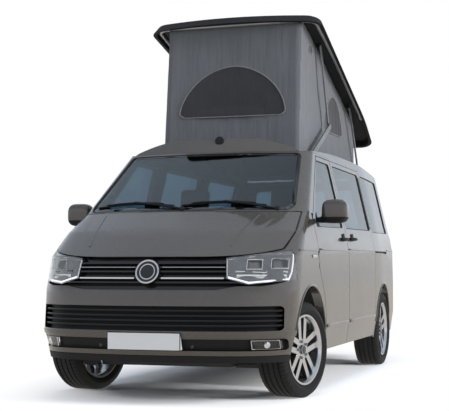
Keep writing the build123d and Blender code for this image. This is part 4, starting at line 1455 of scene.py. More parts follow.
@dataclass
class Sides:
    """Handles, mirrors, creases, mouldings, arch lips and window covers of the sides."""

    shop: Finishes
    handles: tuple[Span, ...] = (
        ("front_door_left", 0.338, 1.166, Hand.LEFT),
        ("front_door_right", 0.338, 1.166, Hand.RIGHT),
        ("sliding_door", -0.015, 1.174, Hand.LEFT),
    )
    grip_line: tuple[Spot, ...] = ((-0.1, 0.003), (-0.07, 0.022), (0, 0.026), (0.07, 0.022), (0.1, 0.003))
    grip_radius: float = 0.012
    cup_size: Spot = (0.047, 0.006)
    mirror_voxel: float = 0.005
    mirror_smoothing: float = 0.7
    mirror_rounds: int = 70
    shell_height: float = 1.312
    shell_foot: float = 0.95
    mirror_glass: tuple[Point, Point] = ((1.1325, 0.985, 1.292), (1.1365, 1.125, 1.424))
    glass_edge: float = 0.0015
    axle_height: float = 0.343
    arches: tuple[tuple[float, float, float, float], ...] = (
        (1.544, 0.463, 20, 165),
        (-1.456, 0.44, 12, 170),
    )
    lip_radius: float = 0.0075
    rail_span: Spot = (-1.0, -1.69)
    rail_height: float = 1.077
    rail_lift: float = 0.004
    rail_radius: float = 0.006
    moulding_height: float = 0.488
    moulding_section: Spot = (0.013, 0.014)
    mouldings: tuple[Span, ...] = (
        ("front_door_left", 0.24, 1.04, Hand.LEFT),
        ("front_door_right", 0.24, 1.04, Hand.RIGHT),
        ("sliding_door", -0.965, 0.19, Hand.LEFT),
        ("side_panel_right", -0.99, 0.19, Hand.RIGHT),
    )
    belt_line: Point = (1.95, 1.05, 0.0118)
    belt_section: Spot = (0.006, 0.009)
    belts: tuple[Span, ...] = (
        ("wings", 1.33, 1.85, Hand.LEFT),
        ("wings", 1.33, 1.85, Hand.RIGHT),
        ("front_door_left", 0.24, 1.24, Hand.LEFT),
        ("front_door_right", 0.24, 1.24, Hand.RIGHT),
        ("sliding_door", -0.95, 0.18, Hand.LEFT),
        ("side_panel_left", -2.2, -1.74, Hand.LEFT),
        ("side_panel_right", -2.2, 0.18, Hand.RIGHT),
    )
    trim_span: Spot = (1.37, 1.5)
    trim_line: Point = (1.35, 1.012, 0.1)
    trim_section: Spot = (0.011, 0.007)
    trim_lift: float = 0.001
    sail_corners: tuple[Spot, ...] = ((1.215, 1.243), (1.09, 1.243), (1.112, 1.352), (1.12, 1.352))
    post_span: Spot = (1.29, 1.77)
    post_half: float = 0.042
    post_gaps: Spot = (0.004, 0.006)

    def build(self) -> None:
        """Builds the sides' trim."""
        for span in self.handles:
            self.handle(*span)
        for hand in Hand:
            self.mirror(hand)
            self.arch_lips(hand)
        self.rail()
        for span in self.mouldings:
            self.moulding(*span)
        for span in self.belts:
            self.belt(*span)
        for hand in Hand:
            self.wing_trim(hand)
            self.sail(hand)
        self.post()

    def sail(self, hand: Hand) -> None:
        """The dark cover in the front corner of a door's window.

        Args:
            hand: the door's side.
        """
        side = hand.name.lower()
        nodes = [f"front_door_{side}", f"front_door_glass_{side}"]
        cover = patch_piece(f"door_sail_{side}", nodes, self.sail_corners, hand, self.shop["black plastic"])
        seat(cover, f"front_door_{side}", "dark_plastic")

    def post(self) -> None:
        """Dark covers that join the two rear panes of the left side."""
        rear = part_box("sliding_door")[0][0]
        low, top = self.post_span
        door_gap, panel_gap = self.post_gaps
        for node, x_front, x_rear in (
            ("sliding_door", rear + self.post_half, rear + door_gap),
            ("side_panel_left", rear - panel_gap, rear - self.post_half),
        ):
            corners = [(x_front, low), (x_rear, low), (x_rear, top), (x_front, top)]
            cover = patch_piece(f"{node}_post", [node], corners, Hand.LEFT, self.shop["gloss black"])
            seat(cover, body_of(node), "gloss_black")

    def belt(self, node: str, x_low: float, x_high: float, hand: Hand) -> None:
        """The sharp crease that runs along the side at the height of the lamps.

        Args:
            node: the panel's name.
            x_low: where it ends.
            x_high: where it starts.
            hand: the panel's side.
        """
        front, height, rise = self.belt_line
        spots = [(x, height + (front - x) * rise) for x in steps(x_low, x_high, 12)]
        points = side_line([node], spots, hand, 0.0)
        name = f"{node}_crease_{hand.name.lower()}"
        seat(ribbon_piece(name, points, *self.belt_section, self.shop["paint"]), body_of(node), "paint")

    def wing_trim(self, hand: Hand) -> None:
        """A small bright trim at the rear end of a wing's crease.

        Args:
            hand: the wing's side.
        """
        start, height, rise = self.trim_line
        spots = [(x, height + rise * (x - start)) for x in steps(*self.trim_span, 5)]
        points = side_line(["wings"], spots, hand, self.trim_lift)
        name = f"wing_trim_{hand.name.lower()}"
        seat(ribbon_piece(name, points, *self.trim_section, self.shop["chrome strip"]), "body", "alloy")

    def moulding(self, node: str, x_low: float, x_high: float, hand: Hand) -> None:
        """A painted step low on a door or side panel.

        Args:
            node: the panel's name.
            x_low: where it ends.
            x_high: where it starts.
            hand: the panel's side.
        """
        spots = [(x, self.moulding_height) for x in steps(x_low, x_high, 9)]
        points = side_line([node], spots, hand, self.trim_lift)
        strip = ribbon_piece(f"{node}_moulding", points, *self.moulding_section, self.shop["paint"])
        seat(strip, body_of(node), "paint")

    def arch_lips(self, hand: Hand) -> None:
        """Rolled lips round the wheel arches of one side.

        Args:
            hand: the side.
        """
        side = hand.name.lower()
        nodes = ["wings", "front_bumper", "rear_bumper", f"side_panel_{side}"]
        made = []
        for x, radius, low, high in self.arches:
            points = []
            for turn in steps(math.radians(low), math.radians(high), 40):
                spot = (x + radius * math.cos(turn), self.axle_height + radius * math.sin(turn))
                points += side_line(nodes, [spot], hand, 0.0)
            made.append(tube_piece("lip", points, self.lip_radius, self.shop["paint"]))
        seat(join(f"arch_lips_{side}", made), "body", "paint")

    def handle(self, node: str, x: float, z: float, hand: Hand) -> None:
        """A bridge handle before a dark cup.

        Args:
            node: the door's name.
            x: the handle's middle.
            z: the handle's height.
            hand: the door's side.
        """
        _, y, _ = side_line([node], [(x, z)], hand, 0.0)[0]
        black = self.shop["black plastic"]
        cup = disc_piece("cup", (x, y, z), (0, 1, 0), *self.cup_size, black)
        points = [(x + along, y + hand.value * out, z) for along, out in self.grip_line]
        grip = tube_piece("grip", points, self.grip_radius, black)
        seat(join(f"{node}_handle", [grip, cup]), body_of(node), "dark_plastic")

    def mirror(self, hand: Hand) -> None:
        """A rounded mirror case with its glass and dark foot.

        Args:
            hand: the mirror's side.
        """
        node = f"door_mirror_{hand.name.lower()}"
        case = solid_copy(node, f"{node}_case")
        modify(case, "REMESH", mode="VOXEL", voxel_size=self.mirror_voxel)
        modify(case, "SMOOTH", factor=self.mirror_smoothing, iterations=self.mirror_rounds)
        with editing(case):
            bpy.ops.mesh.select_all(action="SELECT")
            bpy.ops.mesh.bisect(plane_co=(0, 0, self.shell_height), plane_no=(0, 0, 1))
        settle(case, f"{node}_case", self.shop["paint"])
        case.data.materials.append(self.shop["black plastic"])
        for face in case.data.polygons:
            dark = face.center.z < self.shell_height or abs(face.center.y) < self.shell_foot
            face.material_index = int(dark)
        smooth(case, 60)
        seat(case, body_of(node), "paint", node)
        silvered = self.shop["lamp mirror"]
        glass = sided_box(f"{node}_glass", *self.mirror_glass, hand, silvered, self.glass_edge)
        seat(glass, body_of(node), "lamp_glass")

    def rail(self) -> None:
        """The sliding door's rail in its groove."""
        spots = [(x, self.rail_height) for x in steps(*self.rail_span, 16)]
        points = side_line(["side_panel_left"], spots, Hand.LEFT, self.rail_lift)
        rail = tube_piece("slide_rail", points, self.rail_radius, self.shop["black plastic"])
        seat(rail, "body", "dark_plastic")


@dataclass
class Tail:
    """Handle, wiper and reflectors of the rear."""

    shop: Finishes
    handle_low: Point = (-0.012, -0.2, 1.005)
    handle_high: Point = (0.01, 0.2, 1.05)
    handle_height: float = 1.03
    handle_edge: float = 0.006
    wiper_height: float = 1.24
    wiper_foot: float = 1.15
    wiper_span: Spot = (-0.06, 0.42)
    wiper_lift: float = 0.012
    blade_lift: float = 0.014
    boss_size: Spot = (0.022, 0.026)
    reflector: tuple[Point, Point] = ((-0.004, 0.52, 0.4), (0.02, 0.68, 0.44))
    reflector_middle: Spot = (0.6, 0.42)
    reflector_edge: float = 0.003

    def build(self) -> None:
        """Builds the tail's trim."""
        self.handle()
        self.wiper()
        for hand in Hand:
            self.reflect(hand)

    def handle(self) -> None:
        """The tailgate's handle strip."""
        x = self.rear_point("tailgate", 0.0, self.handle_height)
        low, high = ((x + corner[0], *corner[1:]) for corner in (self.handle_low, self.handle_high))
        strip = box_piece("tailgate_handle", low, high, self.shop["gloss black"], self.handle_edge)
        seat(strip, "tailgate", "gloss_black")

    def wiper(self) -> None:
        """The wiper at the foot of the tailgate's pane."""
        black, z = self.shop["black plastic"], self.wiper_height
        blade = []
        for y in steps(*self.wiper_span, 7):
            blade.append((self.rear_point("tailgate_glass", y, z) - self.blade_lift, y, z))
        x, y, z = blade[len(blade) // 2]
        foot = (self.rear_point("tailgate", 0.0, self.wiper_foot) - self.wiper_lift, 0.0, self.wiper_foot)
        made = [
            tube_piece("blade", blade, WIPER_BLADE, black),
            tube_piece("arm", [foot, (x - self.wiper_lift, y, z)], WIPER_ARM, black),
            disc_piece("boss", foot, (1, 0, 0), *self.boss_size, black, 24),
        ]
        seat(join("rear_wiper", made), "tailgate", "dark_plastic")

    def reflect(self, hand: Hand) -> None:
        """A red reflector low on the bumper.

        Args:
            hand: its side.
        """
        y, z = self.reflector_middle
        x = self.rear_point("rear_bumper", hand.value * y, z)
        low, high = ((x + corner[0], *corner[1:]) for corner in self.reflector)
        name = f"rear_reflector_{hand.name.lower()}"
        pad = sided_box(name, low, high, hand, self.shop["lamp red"], self.reflector_edge)
        seat(pad, "body", "red_lamp")

    def rear_point(self, node: str, y: float, z: float) -> float:
        """How far back a solid reaches at a place in rear view."""
        return cast([node], (BEHIND, y, z), (1, 0, 0)).x


@dataclass
class RoofTent:
    """The tent's cloth with its mesh windows and zips, the lid's frame, the latch and the stays."""

    shop: Finishes
    joint: str = "roof_lift"
    deck: float = 1.864
    keep: float = 0.05
    cell: float = 0.045
    wall_slope: float = 0.6
    side_margin: float = 0.002
    pull: float = 0.016
    crease: float = 0.006
    windows: tuple[tuple[Wall, float, float, float, float], ...] = (
        (Wall.FRONT, 0.0, 2.205, 0.47, 0.435),
        (Wall.SIDE, -0.87, 2.18, 0.34, 0.35),
        (Wall.SIDE, 0.06, 2.78, 0.07, 0.075),
    )
    arch_points: int = 40
    arch_bulk: float = 1.06
    foot_round: float = 0.045
    foot_share: float = 0.4
    fill_height: float = 0.3
    fill_rows: int = 9
    fill_merge: float = 0.0002
    mesh_lift: float = 0.0025
    zip_lift: float = 0.003
    zip_radius: float = 0.006
    lid_band: float = 0.12
    band_half: float = 0.7
    band_rear: float = -1.6
    band_radius: float = 0.02
    band_sink: float = 0.004
    band_corner: tuple[Spot, ...] = ((0.06, 0.0), (0.02, 0.025), (0.0, 0.07))
    under_lid: float = 1.95
    stay_widening: tuple[tuple[str, float], ...] = (("lower_stays", 2.0), ("upper_stays", 1.35))
    stay_edge: float = 0.003
    latch_place: Spot = (0.045, 1.95)
    latch_probe: float = 1.945
    latch_size: Spot = (0.036, 0.03)
    latch_lean: Point = (1, 0, 0.35)

    def build(self) -> None:
        """Builds the cloth and what is sewn to it."""
        cloth = self.cloth()
        trim = self.sewn(skin_tree(cloth))
        self.hang(cloth, trim)
        self.lid_rim()
        self.latch()
        for node, widening in self.stay_widening:
            self.stays(node, widening)

    def cloth(self) -> Piece:
        """The tent's outer wall as one sheet, cut fine, drawn in and creased.

        Returns:
            The sheet.
        """
        sheet = solid_copy("tent", "tent_cloth")
        low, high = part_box("tent")
        middle = Vector(((low[0] + high[0]) / 2, 0, 0))

        def unseen(face: bmesh.types.BMFace) -> bool:
            """Whether a face lies flat or looks into the tent."""
            inward = face.normal.dot(face.calc_center_median() - middle) < 0
            return abs(face.normal.z) > self.wall_slope or inward

        with editing(sheet) as mesh:
            choose(sheet, mesh, unseen)
            bpy.ops.mesh.delete(type="FACE")
            for axis in range(3):
                count = max(2, round((high[axis] - low[axis]) / self.cell))
                for place in steps(low[axis], high[axis], count + 1)[1:-1]:
                    normal = [float(k == axis) for k in range(3)]
                    at = [place if k == axis else 0.0 for k in range(3)]
                    bpy.ops.mesh.select_all(action="SELECT")
                    bpy.ops.mesh.bisect(plane_co=at, plane_no=normal)
        self.shape(sheet, low, high)
        settle(sheet, "tent_cloth", self.shop["tent cloth"])
        return smooth(sheet, 70)

    def shape(self, sheet: Piece, low: Sequence[float], high: Sequence[float]) -> None:
        """Draws the walls in between their edges and presses creases into them.

        Args:
            sheet: the flat-walled sheet.
            low: the tent's lowest corner.
            high: the tent's highest corner.
        """
        mesh = sheet.data
        half = high[1]
        for vertex in mesh.vertices:
            x, y, z = vertex.co
            rise = max(0.0, (z - self.deck) / (high[2] - self.deck))
            on_side = abs(y) > half - self.side_margin
            along = (x - low[0]) / (high[0] - low[0]) if on_side else (y + half) / (2 * half)
            across = math.sin(math.pi * min(1.0, max(0.0, along)))
            bulge = max(0.0, across * math.sin(math.pi * min(1.0, rise)))
            # Counts of waves along and up the wall, as given
            wave = math.sin(17 * along + 5 * rise) * math.sin(9 * rise - 6 * along)
            wave += 0.6 * math.sin(41 * along - 13 * rise) * math.cos(23 * rise)
            gather = math.exp(-rise * 9) * math.sin(62 * along + 1.5 * math.sin(8 * along))
            corner = min(along, 1 - along)
            top = (1 - min(rise, 1.0)) * 14 + 0.2
            fade = min(1.0, corner * 14) * min(1.0, rise * 14) * min(1.0, top)
            inward = self.pull * bulge + self.crease * fade * (0.5 * wave + gather)
            if on_side:
                vertex.co.y -= math.copysign(inward, y)
            else:
                vertex.co.x -= math.copysign(inward, x - (low[0] + high[0]) / 2)

    def window_line(self, middle: float, low: float, half: float, height: float) -> list[Spot]:
        """The outline of a mesh window with an arched top and rounded corners at its flat foot.

        Args:
            middle: the window's middle along the wall.
            low: its foot.
            half: half its width.
            height: its height.

        Returns:
            Points along the wall and up it.
        """
        points = []
        foot = min(self.foot_round, self.foot_share * height)
        for turn in steps(0.0, math.pi, self.arch_points + 1):
            side, rise = math.cos(turn), max(0.0, math.sin(turn))
            up = rise**self.arch_bulk * height
            along = math.copysign(abs(side) ** self.arch_bulk, side) * half
            if up < foot:
                drop = 1 - up / foot
                along -= math.copysign(foot * (1 - math.sqrt(1 - drop * drop)), side)
            points.append((middle + along, low + up))
        return points

    def on_wall(self, cloth: BVHTree, wall: Wall, hand: Hand, spot: Spot, lift: float) -> Vector:
        """A point just outside the tent's wall.

        Args:
            cloth: the finished sheet's search tree.
            wall: the kind of wall.
            hand: which side wall.
            spot: the place along the wall and its height.
            lift: how far it stands off.

        Returns:
            The point.
        """
        along, z = spot
        if wall is Wall.FRONT:
            start, way = Vector((AHEAD, along, z)), Vector((-1, 0, 0))
        else:
            start, way = Vector((along, BESIDE * hand.value, z)), Vector((0, -hand.value, 0))
        place = cloth.ray_cast(start, way)[0]
        if place is None:
            raise ValueError(f"no cloth at {tuple(start)}")
        return place - way * lift

    def sewn(self, cloth: BVHTree) -> list[Piece]:
        """Mesh windows and the zips round them.

        Args:
            cloth: the finished sheet's search tree.

        Returns:
            The pieces.
        """
        panels, beads = [], []
        for wall, middle, low, half, height in self.windows:
            rim = self.window_line(middle, low, half, height)
            heart = (middle, low + height * self.fill_height)
            for hand in (Hand.LEFT,) if wall is Wall.FRONT else tuple(Hand):
                panels.append(self.mesh_panel(cloth, wall, hand, rim, heart))
                line = [self.on_wall(cloth, wall, hand, spot, self.zip_lift) for spot in rim]
                beads.append(tube_piece("zip", line, self.zip_radius, self.shop["tent hem"], True, 1))
        return [join("tent_windows", panels), join("tent_zips", beads)]

    def mesh_panel(
        self, cloth: BVHTree, wall: Wall, hand: Hand, rim: Sequence[Spot], heart: Spot
    ) -> Piece:
        """A dark mesh panel that lies on the wall inside a window's zip.

        Args:
            cloth: the finished sheet's search tree.
            wall: the kind of wall.
            hand: which side wall.
            rim: the window's outline.
            heart: the place from which it is filled.

        Returns:
            The panel.
        """
        deselect()
        bpy.ops.mesh.primitive_grid_add(x_subdivisions=len(rim), y_subdivisions=self.fill_rows, size=1)
        panel = bpy.context.object
        for vertex in panel.data.vertices:
            column = round((vertex.co.x + 0.5) * len(rim)) % len(rim)
            share = vertex.co.y + 0.5
            spot = tuple(a + (b - a) * share for a, b in zip(heart, rim[column]))
            vertex.co = self.on_wall(cloth, wall, hand, spot, self.mesh_lift)
        with editing(panel):
            bpy.ops.mesh.select_all(action="SELECT")
            bpy.ops.mesh.remove_doubles(threshold=self.fill_merge)
            bpy.ops.mesh.normals_make_consistent(inside=False)
        settle(panel, "mesh_panel", self.shop["tent mesh"])
        return smooth(panel, 70)

    def hang(self, cloth: Piece, trim: Sequence[Piece]) -> None:
        """Hangs the cloth between roof and lid on the body, with what is sewn to it, each with a mesh of its
        own.

        Args:
            cloth: the sheet.
            trim: what is sewn to it.
        """
        seat(cloth, "body", "cloth", "tent")
        for piece in trim:
            seat(piece, "body", "cloth")
        for piece in (cloth, *trim):
            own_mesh(piece)

    def lid_rim(self) -> None:
        """The silver frame under the lid round the tent's front and sides."""
        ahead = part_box("roof_lid")[1][0] - self.lid_band
        (back, _), (bend_x, bend_y), (_, side) = self.band_corner
        half = self.band_half
        spots = [(x, -half) for x in steps(self.band_rear, ahead - back, 20)]
        spots.append((ahead - bend_x, bend_y - half))
        spots += [(ahead, y) for y in steps(side - half, half - side, 20)]
        spots.append((ahead - bend_x, half - bend_y))
        spots += [(x, half) for x in steps(ahead - back, self.band_rear, 20)]
        points = []
        for x, y in spots:
            place = cast(["roof_lid"], (x, y, self.under_lid), (0, 0, 1))
            points.append((x, y, place.z - self.band_sink))
        band = tube_piece("lid_seams", points, self.band_radius, self.shop["satin silver"])
        seat(band, "roof_lid", "steel")

    def stays(self, node: str, widening: float) -> None:
        """Broad pressed stays in place of the plain bars.

        Args:
            node: the bars' name.
            widening: how much broader they are than the bars.
        """
        bars = solid_copy(node, f"{node}_pressed")
        spots = [vertex.co for vertex in bars.data.vertices]
        middle = sum(spots, Vector()) / len(spots)
        spread = [(spot.x - middle.x, spot.z - middle.z) for spot in spots]
        both = sum(a * b for a, b in spread)
        turn = 0.5 * math.atan2(2 * both, sum(a * a - b * b for a, b in spread))
        across = Vector((-math.sin(turn), 0, math.cos(turn)))
        for vertex in bars.data.vertices:
            vertex.co += across * (vertex.co - middle).dot(across) * (widening - 1)
        settle(bars, f"{node}_pressed", self.shop["worn steel"])
        bevel_edges(bars, self.stay_edge, 2, 40)
        smooth(bars, 40)
        seat(bars, body_of(node), "steel", node)

    def latch(self) -> None:
        """The round latch at the front of the roof cap."""
        y, z = self.latch_place
        x = cast(["roof_frame"], (AHEAD, y, self.latch_probe), (-1, 0, 0)).x
        knob = disc_piece("knob", (x, y, z), self.latch_lean, *self.latch_size, self.shop["black plastic"])
        seat(knob, "body", "dark_plastic")


@dataclass
class Wheels:
    """Rims, bolts, caps and tyres of the wheels."""

    shop: Finishes
    outside: float = 0.6
    rim_edge: float = 0.003
    recess_reach: float = 0.2
    recess_facing: float = 0.35
    hub_probe: float = 0.045
    bolts: int = 5
    bolt_circle: float = 0.06
    bolt_turn: float = 0.3
    bolt_lift: float = 0.004
    bolt_size: Spot = (0.011, 0.018)
    cap_size: Spot = (0.033, 0.016)
    cap_edge: float = 0.002
    tyre_edge: float = 0.0015
    ribs: tuple[float, ...] = (0.262, 0.29)
    rib_radius: float = 0.0022
    cuts: int = 72

    def build(self) -> None:
        """Dresses all four wheels."""
        for joint in frame["record"]["behaviour"]["joints"]:
            if joint["name"].endswith("_spin"):
                self.wheel(joint["child"], Vector(joint["pos_m"]), Vector(joint["axis"]))

    def wheel(self, body: str, centre: Vector, axis: Vector) -> None:
        """Rim, bolts, cap and tyre of one wheel.

        Args:
            body: the wheel's body.
            centre: the wheel's middle.
            axis: its axle.
        """
        end = body.removeprefix("wheel_")
        out = axis.normalized() * (1 if centre.y > 0 else -1)
        rim = solid_copy(f"rim_{end}", f"rim_{end}_skin")
        bevel_edges(rim, self.rim_edge, 2, 34)
        settle(rim, f"rim_{end}_skin", self.shop["alloy face"])
        rim.data.materials.append(self.shop["alloy recess"])
        for face in rim.data.polygons:
            spot = face.center - centre
            reach = (spot - out * spot.dot(out)).length
            facing = face.normal.dot(out)
            face.material_index = int(reach < self.recess_reach and facing < self.recess_facing)
        smooth(rim, 40)
        modify(rim, "WEIGHTED_NORMAL", keep_sharp=True)
        seat(rim, body, "alloy", f"rim_{end}")
        self.hub(end, body, centre, out, skin_tree(rim))
        self.tyre(end, body, centre, out)

    def hub(self, end: str, body: str, centre: Vector, out: Vector, rim: BVHTree) -> None:
        """Bolts and plain cap in the middle of a wheel.

        Args:
            end: the wheel's place.
            body: the wheel's body.
            centre: the wheel's middle.
            out: the way that the wheel faces.
            rim: the rim's search tree.
        """
        up = Vector((0, 0, 1))
        across = out.cross(up)
        start = centre + out * self.outside + up * self.hub_probe
        depth = (rim.ray_cast(start, -out)[0] - centre).dot(out)
        face = centre + out * (depth + self.bolt_lift)
        made = []
        for k in range(self.bolts):
            turn = math.tau * k / self.bolts + self.bolt_turn
            spot = face + self.bolt_circle * (math.cos(turn) * up + math.sin(turn) * across)
            made.append(disc_piece("bolt", spot, out, *self.bolt_size, self.shop["worn steel"], 6))
        made.append(disc_piece("cap", face, out, *self.cap_size, self.shop["alloy recess"]))
        radius, depth = self.cap_size
        chrome, edge = self.shop["chrome strip"], self.cap_edge
        made.append(ring_piece("edge", face + out * depth / 2, out, radius - edge, edge, chrome))
        seat(join(f"hub_{end}", made), body, "alloy")

    def tyre(self, end: str, body: str, centre: Vector, out: Vector) -> None:
        """A smoothly shaded tyre with ribs on its outer wall.

        Args:
            end: the wheel's place.
            body: the wheel's body.
            centre: the wheel's middle.
            out: the way that the wheel faces.
        """
        skin = solid_copy(f"tyre_{end}", f"tyre_{end}_skin")
        bevel_edges(skin, self.tyre_edge, 1, 40)
        settle(skin, f"tyre_{end}_skin", self.shop["tyre rubber"])
        smooth(skin, 35)
        self.map_tread(skin, centre, out)
        seat(skin, body, "tyre", f"tyre_{end}")
        made = []
        wall = skin_tree(skin)
        for reach in self.ribs:
            place = wall.ray_cast(centre + out * self.outside + Vector((0, 0, reach)), -out)[0]
            middle = centre + out * (place - centre).dot(out)
            made.append(ring_piece("rib", middle, out, reach, self.rib_radius, self.shop["tyre rubber"]))
        seat(join(f"tyre_ribs_{end}", made), body, "tyre")

    def map_tread(self, skin: Piece, centre: Vector, out: Vector) -> None:
        """Writes each corner's turn, in cuts, and its place across the tyre.

        Args:
            skin: the tyre.
            centre: the wheel's middle.
            out: the way that the wheel faces.
        """
        layer = skin.data.uv_layers.new(name="tread")
        up = Vector((0, 0, 1))
        ahead = up.cross(out)
        for face in skin.data.polygons:
            turns = []
            for corner in face.loop_indices:
                spot = skin.data.vertices[skin.data.loops[corner].vertex_index].co - centre
                turns.append((math.atan2(spot.dot(up), spot.dot(ahead)) / math.tau % 1.0, spot.dot(out)))
            wraps = max(turn for turn, _ in turns) - min(turn for turn, _ in turns) > 0.5
            for corner, (turn, across) in zip(face.loop_indices, turns):
                if wraps and turn < 0.5:
                    turn += 1.0
                layer.data[corner].uv = (turn * self.cuts, across)


@dataclass
class Cabin:
    """Padded seats and the small things seen through the glass."""

    shop: Finishes
    voxel: float = 0.011
    pressure: float = 4.0
    swelling: float = 0.012
    frames: int = 16
    mirror_box: tuple[Point, Point] = ((0.985, -0.13, 1.672), (1.008, 0.11, 1.736))
    mirror_edge: float = 0.008
    mirror_stalk: tuple[Point, Point] = ((0.999, -0.01, 1.73), (1.035, -0.01, 1.79))
    stalk_radius: float = 0.007
    cabinets: int = 3
    cabinet_start: float = 0.03
    cabinet_sink: float = 0.001
    cabinet_width: float = 0.36
    cabinet_gap: float = 0.012
    cabinet_front: float = 0.014
    cabinet_foot: float = 0.08
    cabinet_top: float = 0.05
    knob_inset: float = 0.04
    knob_lift: float = 0.004
    knob_size: Spot = (0.012, 0.014)
    hob_shift: float = 0.03
    burners: Spot = (-0.34, -0.58)
    burner_size: Spot = (0.07, 0.006)
    sink_place: float = -0.92
    sink_size: Spot = (0.13, 0.006)
    sink_lift: float = 0.002

    def build(self) -> None:
        """Builds the seats, the inner mirror and the kitchen's trim."""
        for node in ("front_seats", "rear_bench"):
            self.pad(node)
        self.inner_mirror()
        self.galley()

    def galley(self) -> None:
        """Cabinet doors, knobs, hob and sink of the kitchen."""
        low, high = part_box("kitchen")
        board, silver = self.shop["cabinet board"], self.shop["satin silver"]
        made = []
        for k in range(self.cabinets):
            x = high[0] - self.cabinet_start - k * (self.cabinet_width + self.cabinet_gap)
            foot = (x - self.cabinet_width, high[1] - self.cabinet_sink, low[2] + self.cabinet_foot)
            top = (x, high[1] + self.cabinet_front, high[2] - self.cabinet_top)
            made.append(box_piece("door", foot, top, board))
            knob = (x - self.knob_inset, top[1] + self.knob_lift, high[2] - 2 * self.cabinet_top)
            made.append(disc_piece("knob", knob, (0, 1, 0), *self.knob_size, silver, 24))
        middle = (low[1] + high[1]) / 2 + self.hob_shift
        for x in self.burners:
            place = (x, middle, high[2] + self.burner_size[1])
            made.append(ring_piece("burner", place, (0, 0, 1), *self.burner_size, self.shop["black plastic"]))
        place = (self.sink_place, middle, high[2] + self.sink_lift)
        made.append(disc_piece("sink", place, (0, 0, 1), *self.sink_size, self.shop["worn steel"]))
        seat(join("galley_trim", made), "body", "cabinet")

    def pad(self, node: str) -> None:
        """Soft upholstery in place of a seat's solid, swelled by a cloth simulation.

        Args:
            node: the seat's name.
        """
        pad = solid_copy(node, f"{node}_padding")
        settle(pad, f"{node}_padding", self.shop["seat cloth"])
        modify(pad, "REMESH", mode="VOXEL", voxel_size=self.voxel)
        self.swell(pad)
        smooth(pad, 80)
        seat(pad, body_of(node), "seat_cloth", node)

    def swell(self, pad: Piece) -> None:
        """Blows a pad up a little and keeps each point near its place.

        Args:
            pad: the remeshed pad.
        """
        before = [vertex.co.copy() for vertex in pad.data.vertices]
        pick(pad)
        cloth = pad.modifiers.new("Cloth", "CLOTH")
        cloth.settings.use_pressure = True
        cloth.settings.uniform_pressure_force = self.pressure
        cloth.settings.effector_weights.gravity = 0
        cloth.settings.quality = 4
        cloth.collision_settings.use_collision = False
        scene = bpy.context.scene
        for step in range(1, self.frames + 1):
            scene.frame_set(step)
        bpy.ops.object.modifier_apply(modifier=cloth.name)
        scene.frame_set(1)
        for vertex, place in zip(pad.data.vertices, before):
            move = vertex.co - place
            if move.length > self.swelling:
                vertex.co = place + move.normalized() * self.swelling

    def inner_mirror(self) -> None:
        """The mirror below the windscreen's header."""
        black = self.shop["black plastic"]
        case = box_piece("inner_mirror", *self.mirror_box, black, self.mirror_edge)
        stalk = tube_piece("stalk", self.mirror_stalk, self.stalk_radius, black)
        seat(join("inner_mirror", [case, stalk]), "body", "dark_plastic")


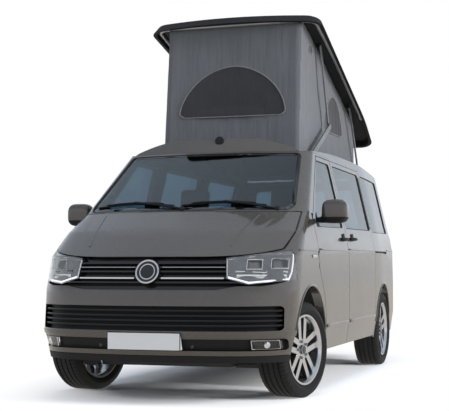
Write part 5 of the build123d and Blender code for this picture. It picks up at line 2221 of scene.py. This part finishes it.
@dataclass
class Studio:
    """Floor, light and the camera of the photograph."""

    camera_place: Point = (9.856, 2.955, 0.934)
    yaw: float = 17.81
    pitch: float = 3.02
    lens: float = 94.03
    sensor: float = 36.0
    floor_half: float = 60.0
    floor_white: Point = (0.95, 0.95, 0.95)
    shadow_shape: Point = (0.55, 1.15, 0.0)
    shadow_fade: Spot = (1.1, 1.9)
    ground: Point = (0.6, 0.57, 0.53)
    sand: Point = (0.62, 0.59, 0.55)
    mirrored_white: float = 0.2
    sky: tuple[tuple[float, Point], ...] = (
        (0.0, (0.5, 0.49, 0.48)),
        (0.08, (0.84, 0.89, 0.95)),
        (0.2, (0.6, 0.68, 0.78)),
        (0.42, (0.25, 0.31, 0.4)),
        (1.0, (0.36, 0.43, 0.53)),
    )
    lights: tuple[tuple[str, Point, Point, float, float], ...] = (
        ("key", (2.0, 10.0, 4.5), (-0.3, 0, 1.4), 1600, 4.0),
        ("fill", (9.0, -6.0, 5.0), (1.0, 0, 1.2), 320, 4.0),
        ("top", (1.0, 0.0, 9.5), (0.4, 0, 1.0), 420, 6.0),
    )

    def build(self) -> None:
        """Sets up the stage."""
        self.floor()
        self.dome()
        self.lamps()
        self.camera()

    def floor(self) -> None:
        """A pale floor that keeps the van's shadow."""
        deselect()
        bpy.ops.mesh.primitive_grid_add(x_subdivisions=8, y_subdivisions=8, size=2 * self.floor_half)
        obj = bpy.context.object
        material, tree, shader = new_material("studio floor")
        set_inputs(shader, {"Roughness": 0.9, "Specular IOR Level": 0.0})
        path = add_node(tree, "LightPath")
        seen = path.outputs["Is Camera Ray"]
        shade = blend(tree, seen, (*self.ground, 1), (*self.floor_white, 1))
        tree.links.new(shade, shader.inputs["Base Color"])
        place = add_node(tree, "TexCoord").outputs["Object"]
        pressed = add_node(tree, "VectorMath", {"operation": "MULTIPLY"}, i0=place, i1=self.shadow_shape)
        reach = add_node(tree, "VectorMath", {"operation": "LENGTH"}, i0=pressed.outputs[0]).outputs["Value"]
        near, far = self.shadow_fade
        away = add_node(tree, "MapRange", i0=reach, i1=near, i2=far, i3=0.0, i4=1.0).outputs[0]
        sand = add_node(tree, "Emission", Color=(*self.sand, 1), Strength=1.0)
        white = add_node(tree, "Emission", Strength=1.0)
        mixed = mix_shaders(tree, path.outputs["Is Glossy Ray"], shader, sand)
        mixed = mix_shaders(tree, calc(tree, "MULTIPLY", away, seen), mixed, white)
        tree.links.new(mixed.outputs[0], tree.nodes["Material Output"].inputs["Surface"])
        settle(obj, "studio_floor", material)

    def dome(self) -> None:
        """A pale sky with a bright horizon, plain white where the camera or glass looks through."""
        world = bpy.data.worlds.new("studio")
        bpy.context.scene.world = world
        world.use_nodes = True
        tree = world.node_tree
        light = tree.nodes["Background"]
        up = add_node(tree, "SeparateXYZ", i0=add_node(tree, "TexCoord").outputs["Generated"]).outputs["Z"]
        ramp = add_node(tree, "ValToRGB", i0=up)
        stops = ramp.color_ramp.elements
        while len(stops) < len(self.sky):
            stops.new(0.5)
        for stop, (height, colour) in zip(stops, self.sky):
            stop.position = height
            stop.color = (*colour, 1)
        tree.links.new(ramp.outputs[0], light.inputs["Color"])
        white = add_node(tree, "Background", Color=(1, 1, 1, 1), Strength=1.0)
        path = add_node(tree, "LightPath").outputs
        through = calc(tree, "MAXIMUM", path["Is Camera Ray"], path["Is Transmission Ray"])
        mirrored = calc(tree, "MULTIPLY", path["Is Glossy Ray"], self.mirrored_white)
        mixed = mix_shaders(tree, calc(tree, "MAXIMUM", through, mirrored), light, white)
        tree.links.new(mixed.outputs[0], tree.nodes["World Output"].inputs["Surface"])

    def lamps(self) -> None:
        """A key light on the van's left, a softer one on its right and one from above."""
        for name, place, aim, power, size in self.lights:
            data = bpy.data.lights.new(name, "AREA")
            data.energy = power
            data.size = size
            lamp = bpy.data.objects.new(name, data)
            bpy.context.collection.objects.link(lamp)
            lamp.visible_glossy = False
            lamp.visible_transmission = False
            lamp.location = place
            lamp.rotation_euler = (Vector(aim) - Vector(place)).to_track_quat("-Z", "Y").to_euler()

    def camera(self) -> None:
        """The photograph's camera, low before the left front corner."""
        data = bpy.data.cameras.new("camera")
        data.lens = self.lens
        data.sensor_width = self.sensor
        data.clip_end = 200
        cam = bpy.data.objects.new("camera", data)
        bpy.context.collection.objects.link(cam)
        yaw, pitch = math.radians(self.yaw), math.radians(self.pitch)
        level = -math.cos(pitch)
        ahead = Vector((math.cos(yaw) * level, math.sin(yaw) * level, math.sin(pitch)))
        cam.location = self.camera_place
        cam.rotation_euler = ahead.to_track_quat("-Z", "Y").to_euler()
        bpy.context.scene.camera = cam
        bpy.context.scene.view_settings.view_transform = "Standard"


def main() -> None:
    """Builds every sub-assembly in order."""
    logging.basicConfig(level=logging.INFO)
    shop = Finishes()
    shop.build()
    Studio().build()
    Bodywork(shop).build()
    FrontEnd(shop).build()
    Glazing(shop).build()
    Sides(shop).build()
    Tail(shop).build()
    RoofTent(shop).build()
    Wheels(shop).build()
    Cabin(shop).build()


if __name__ == "__main__":
    main()
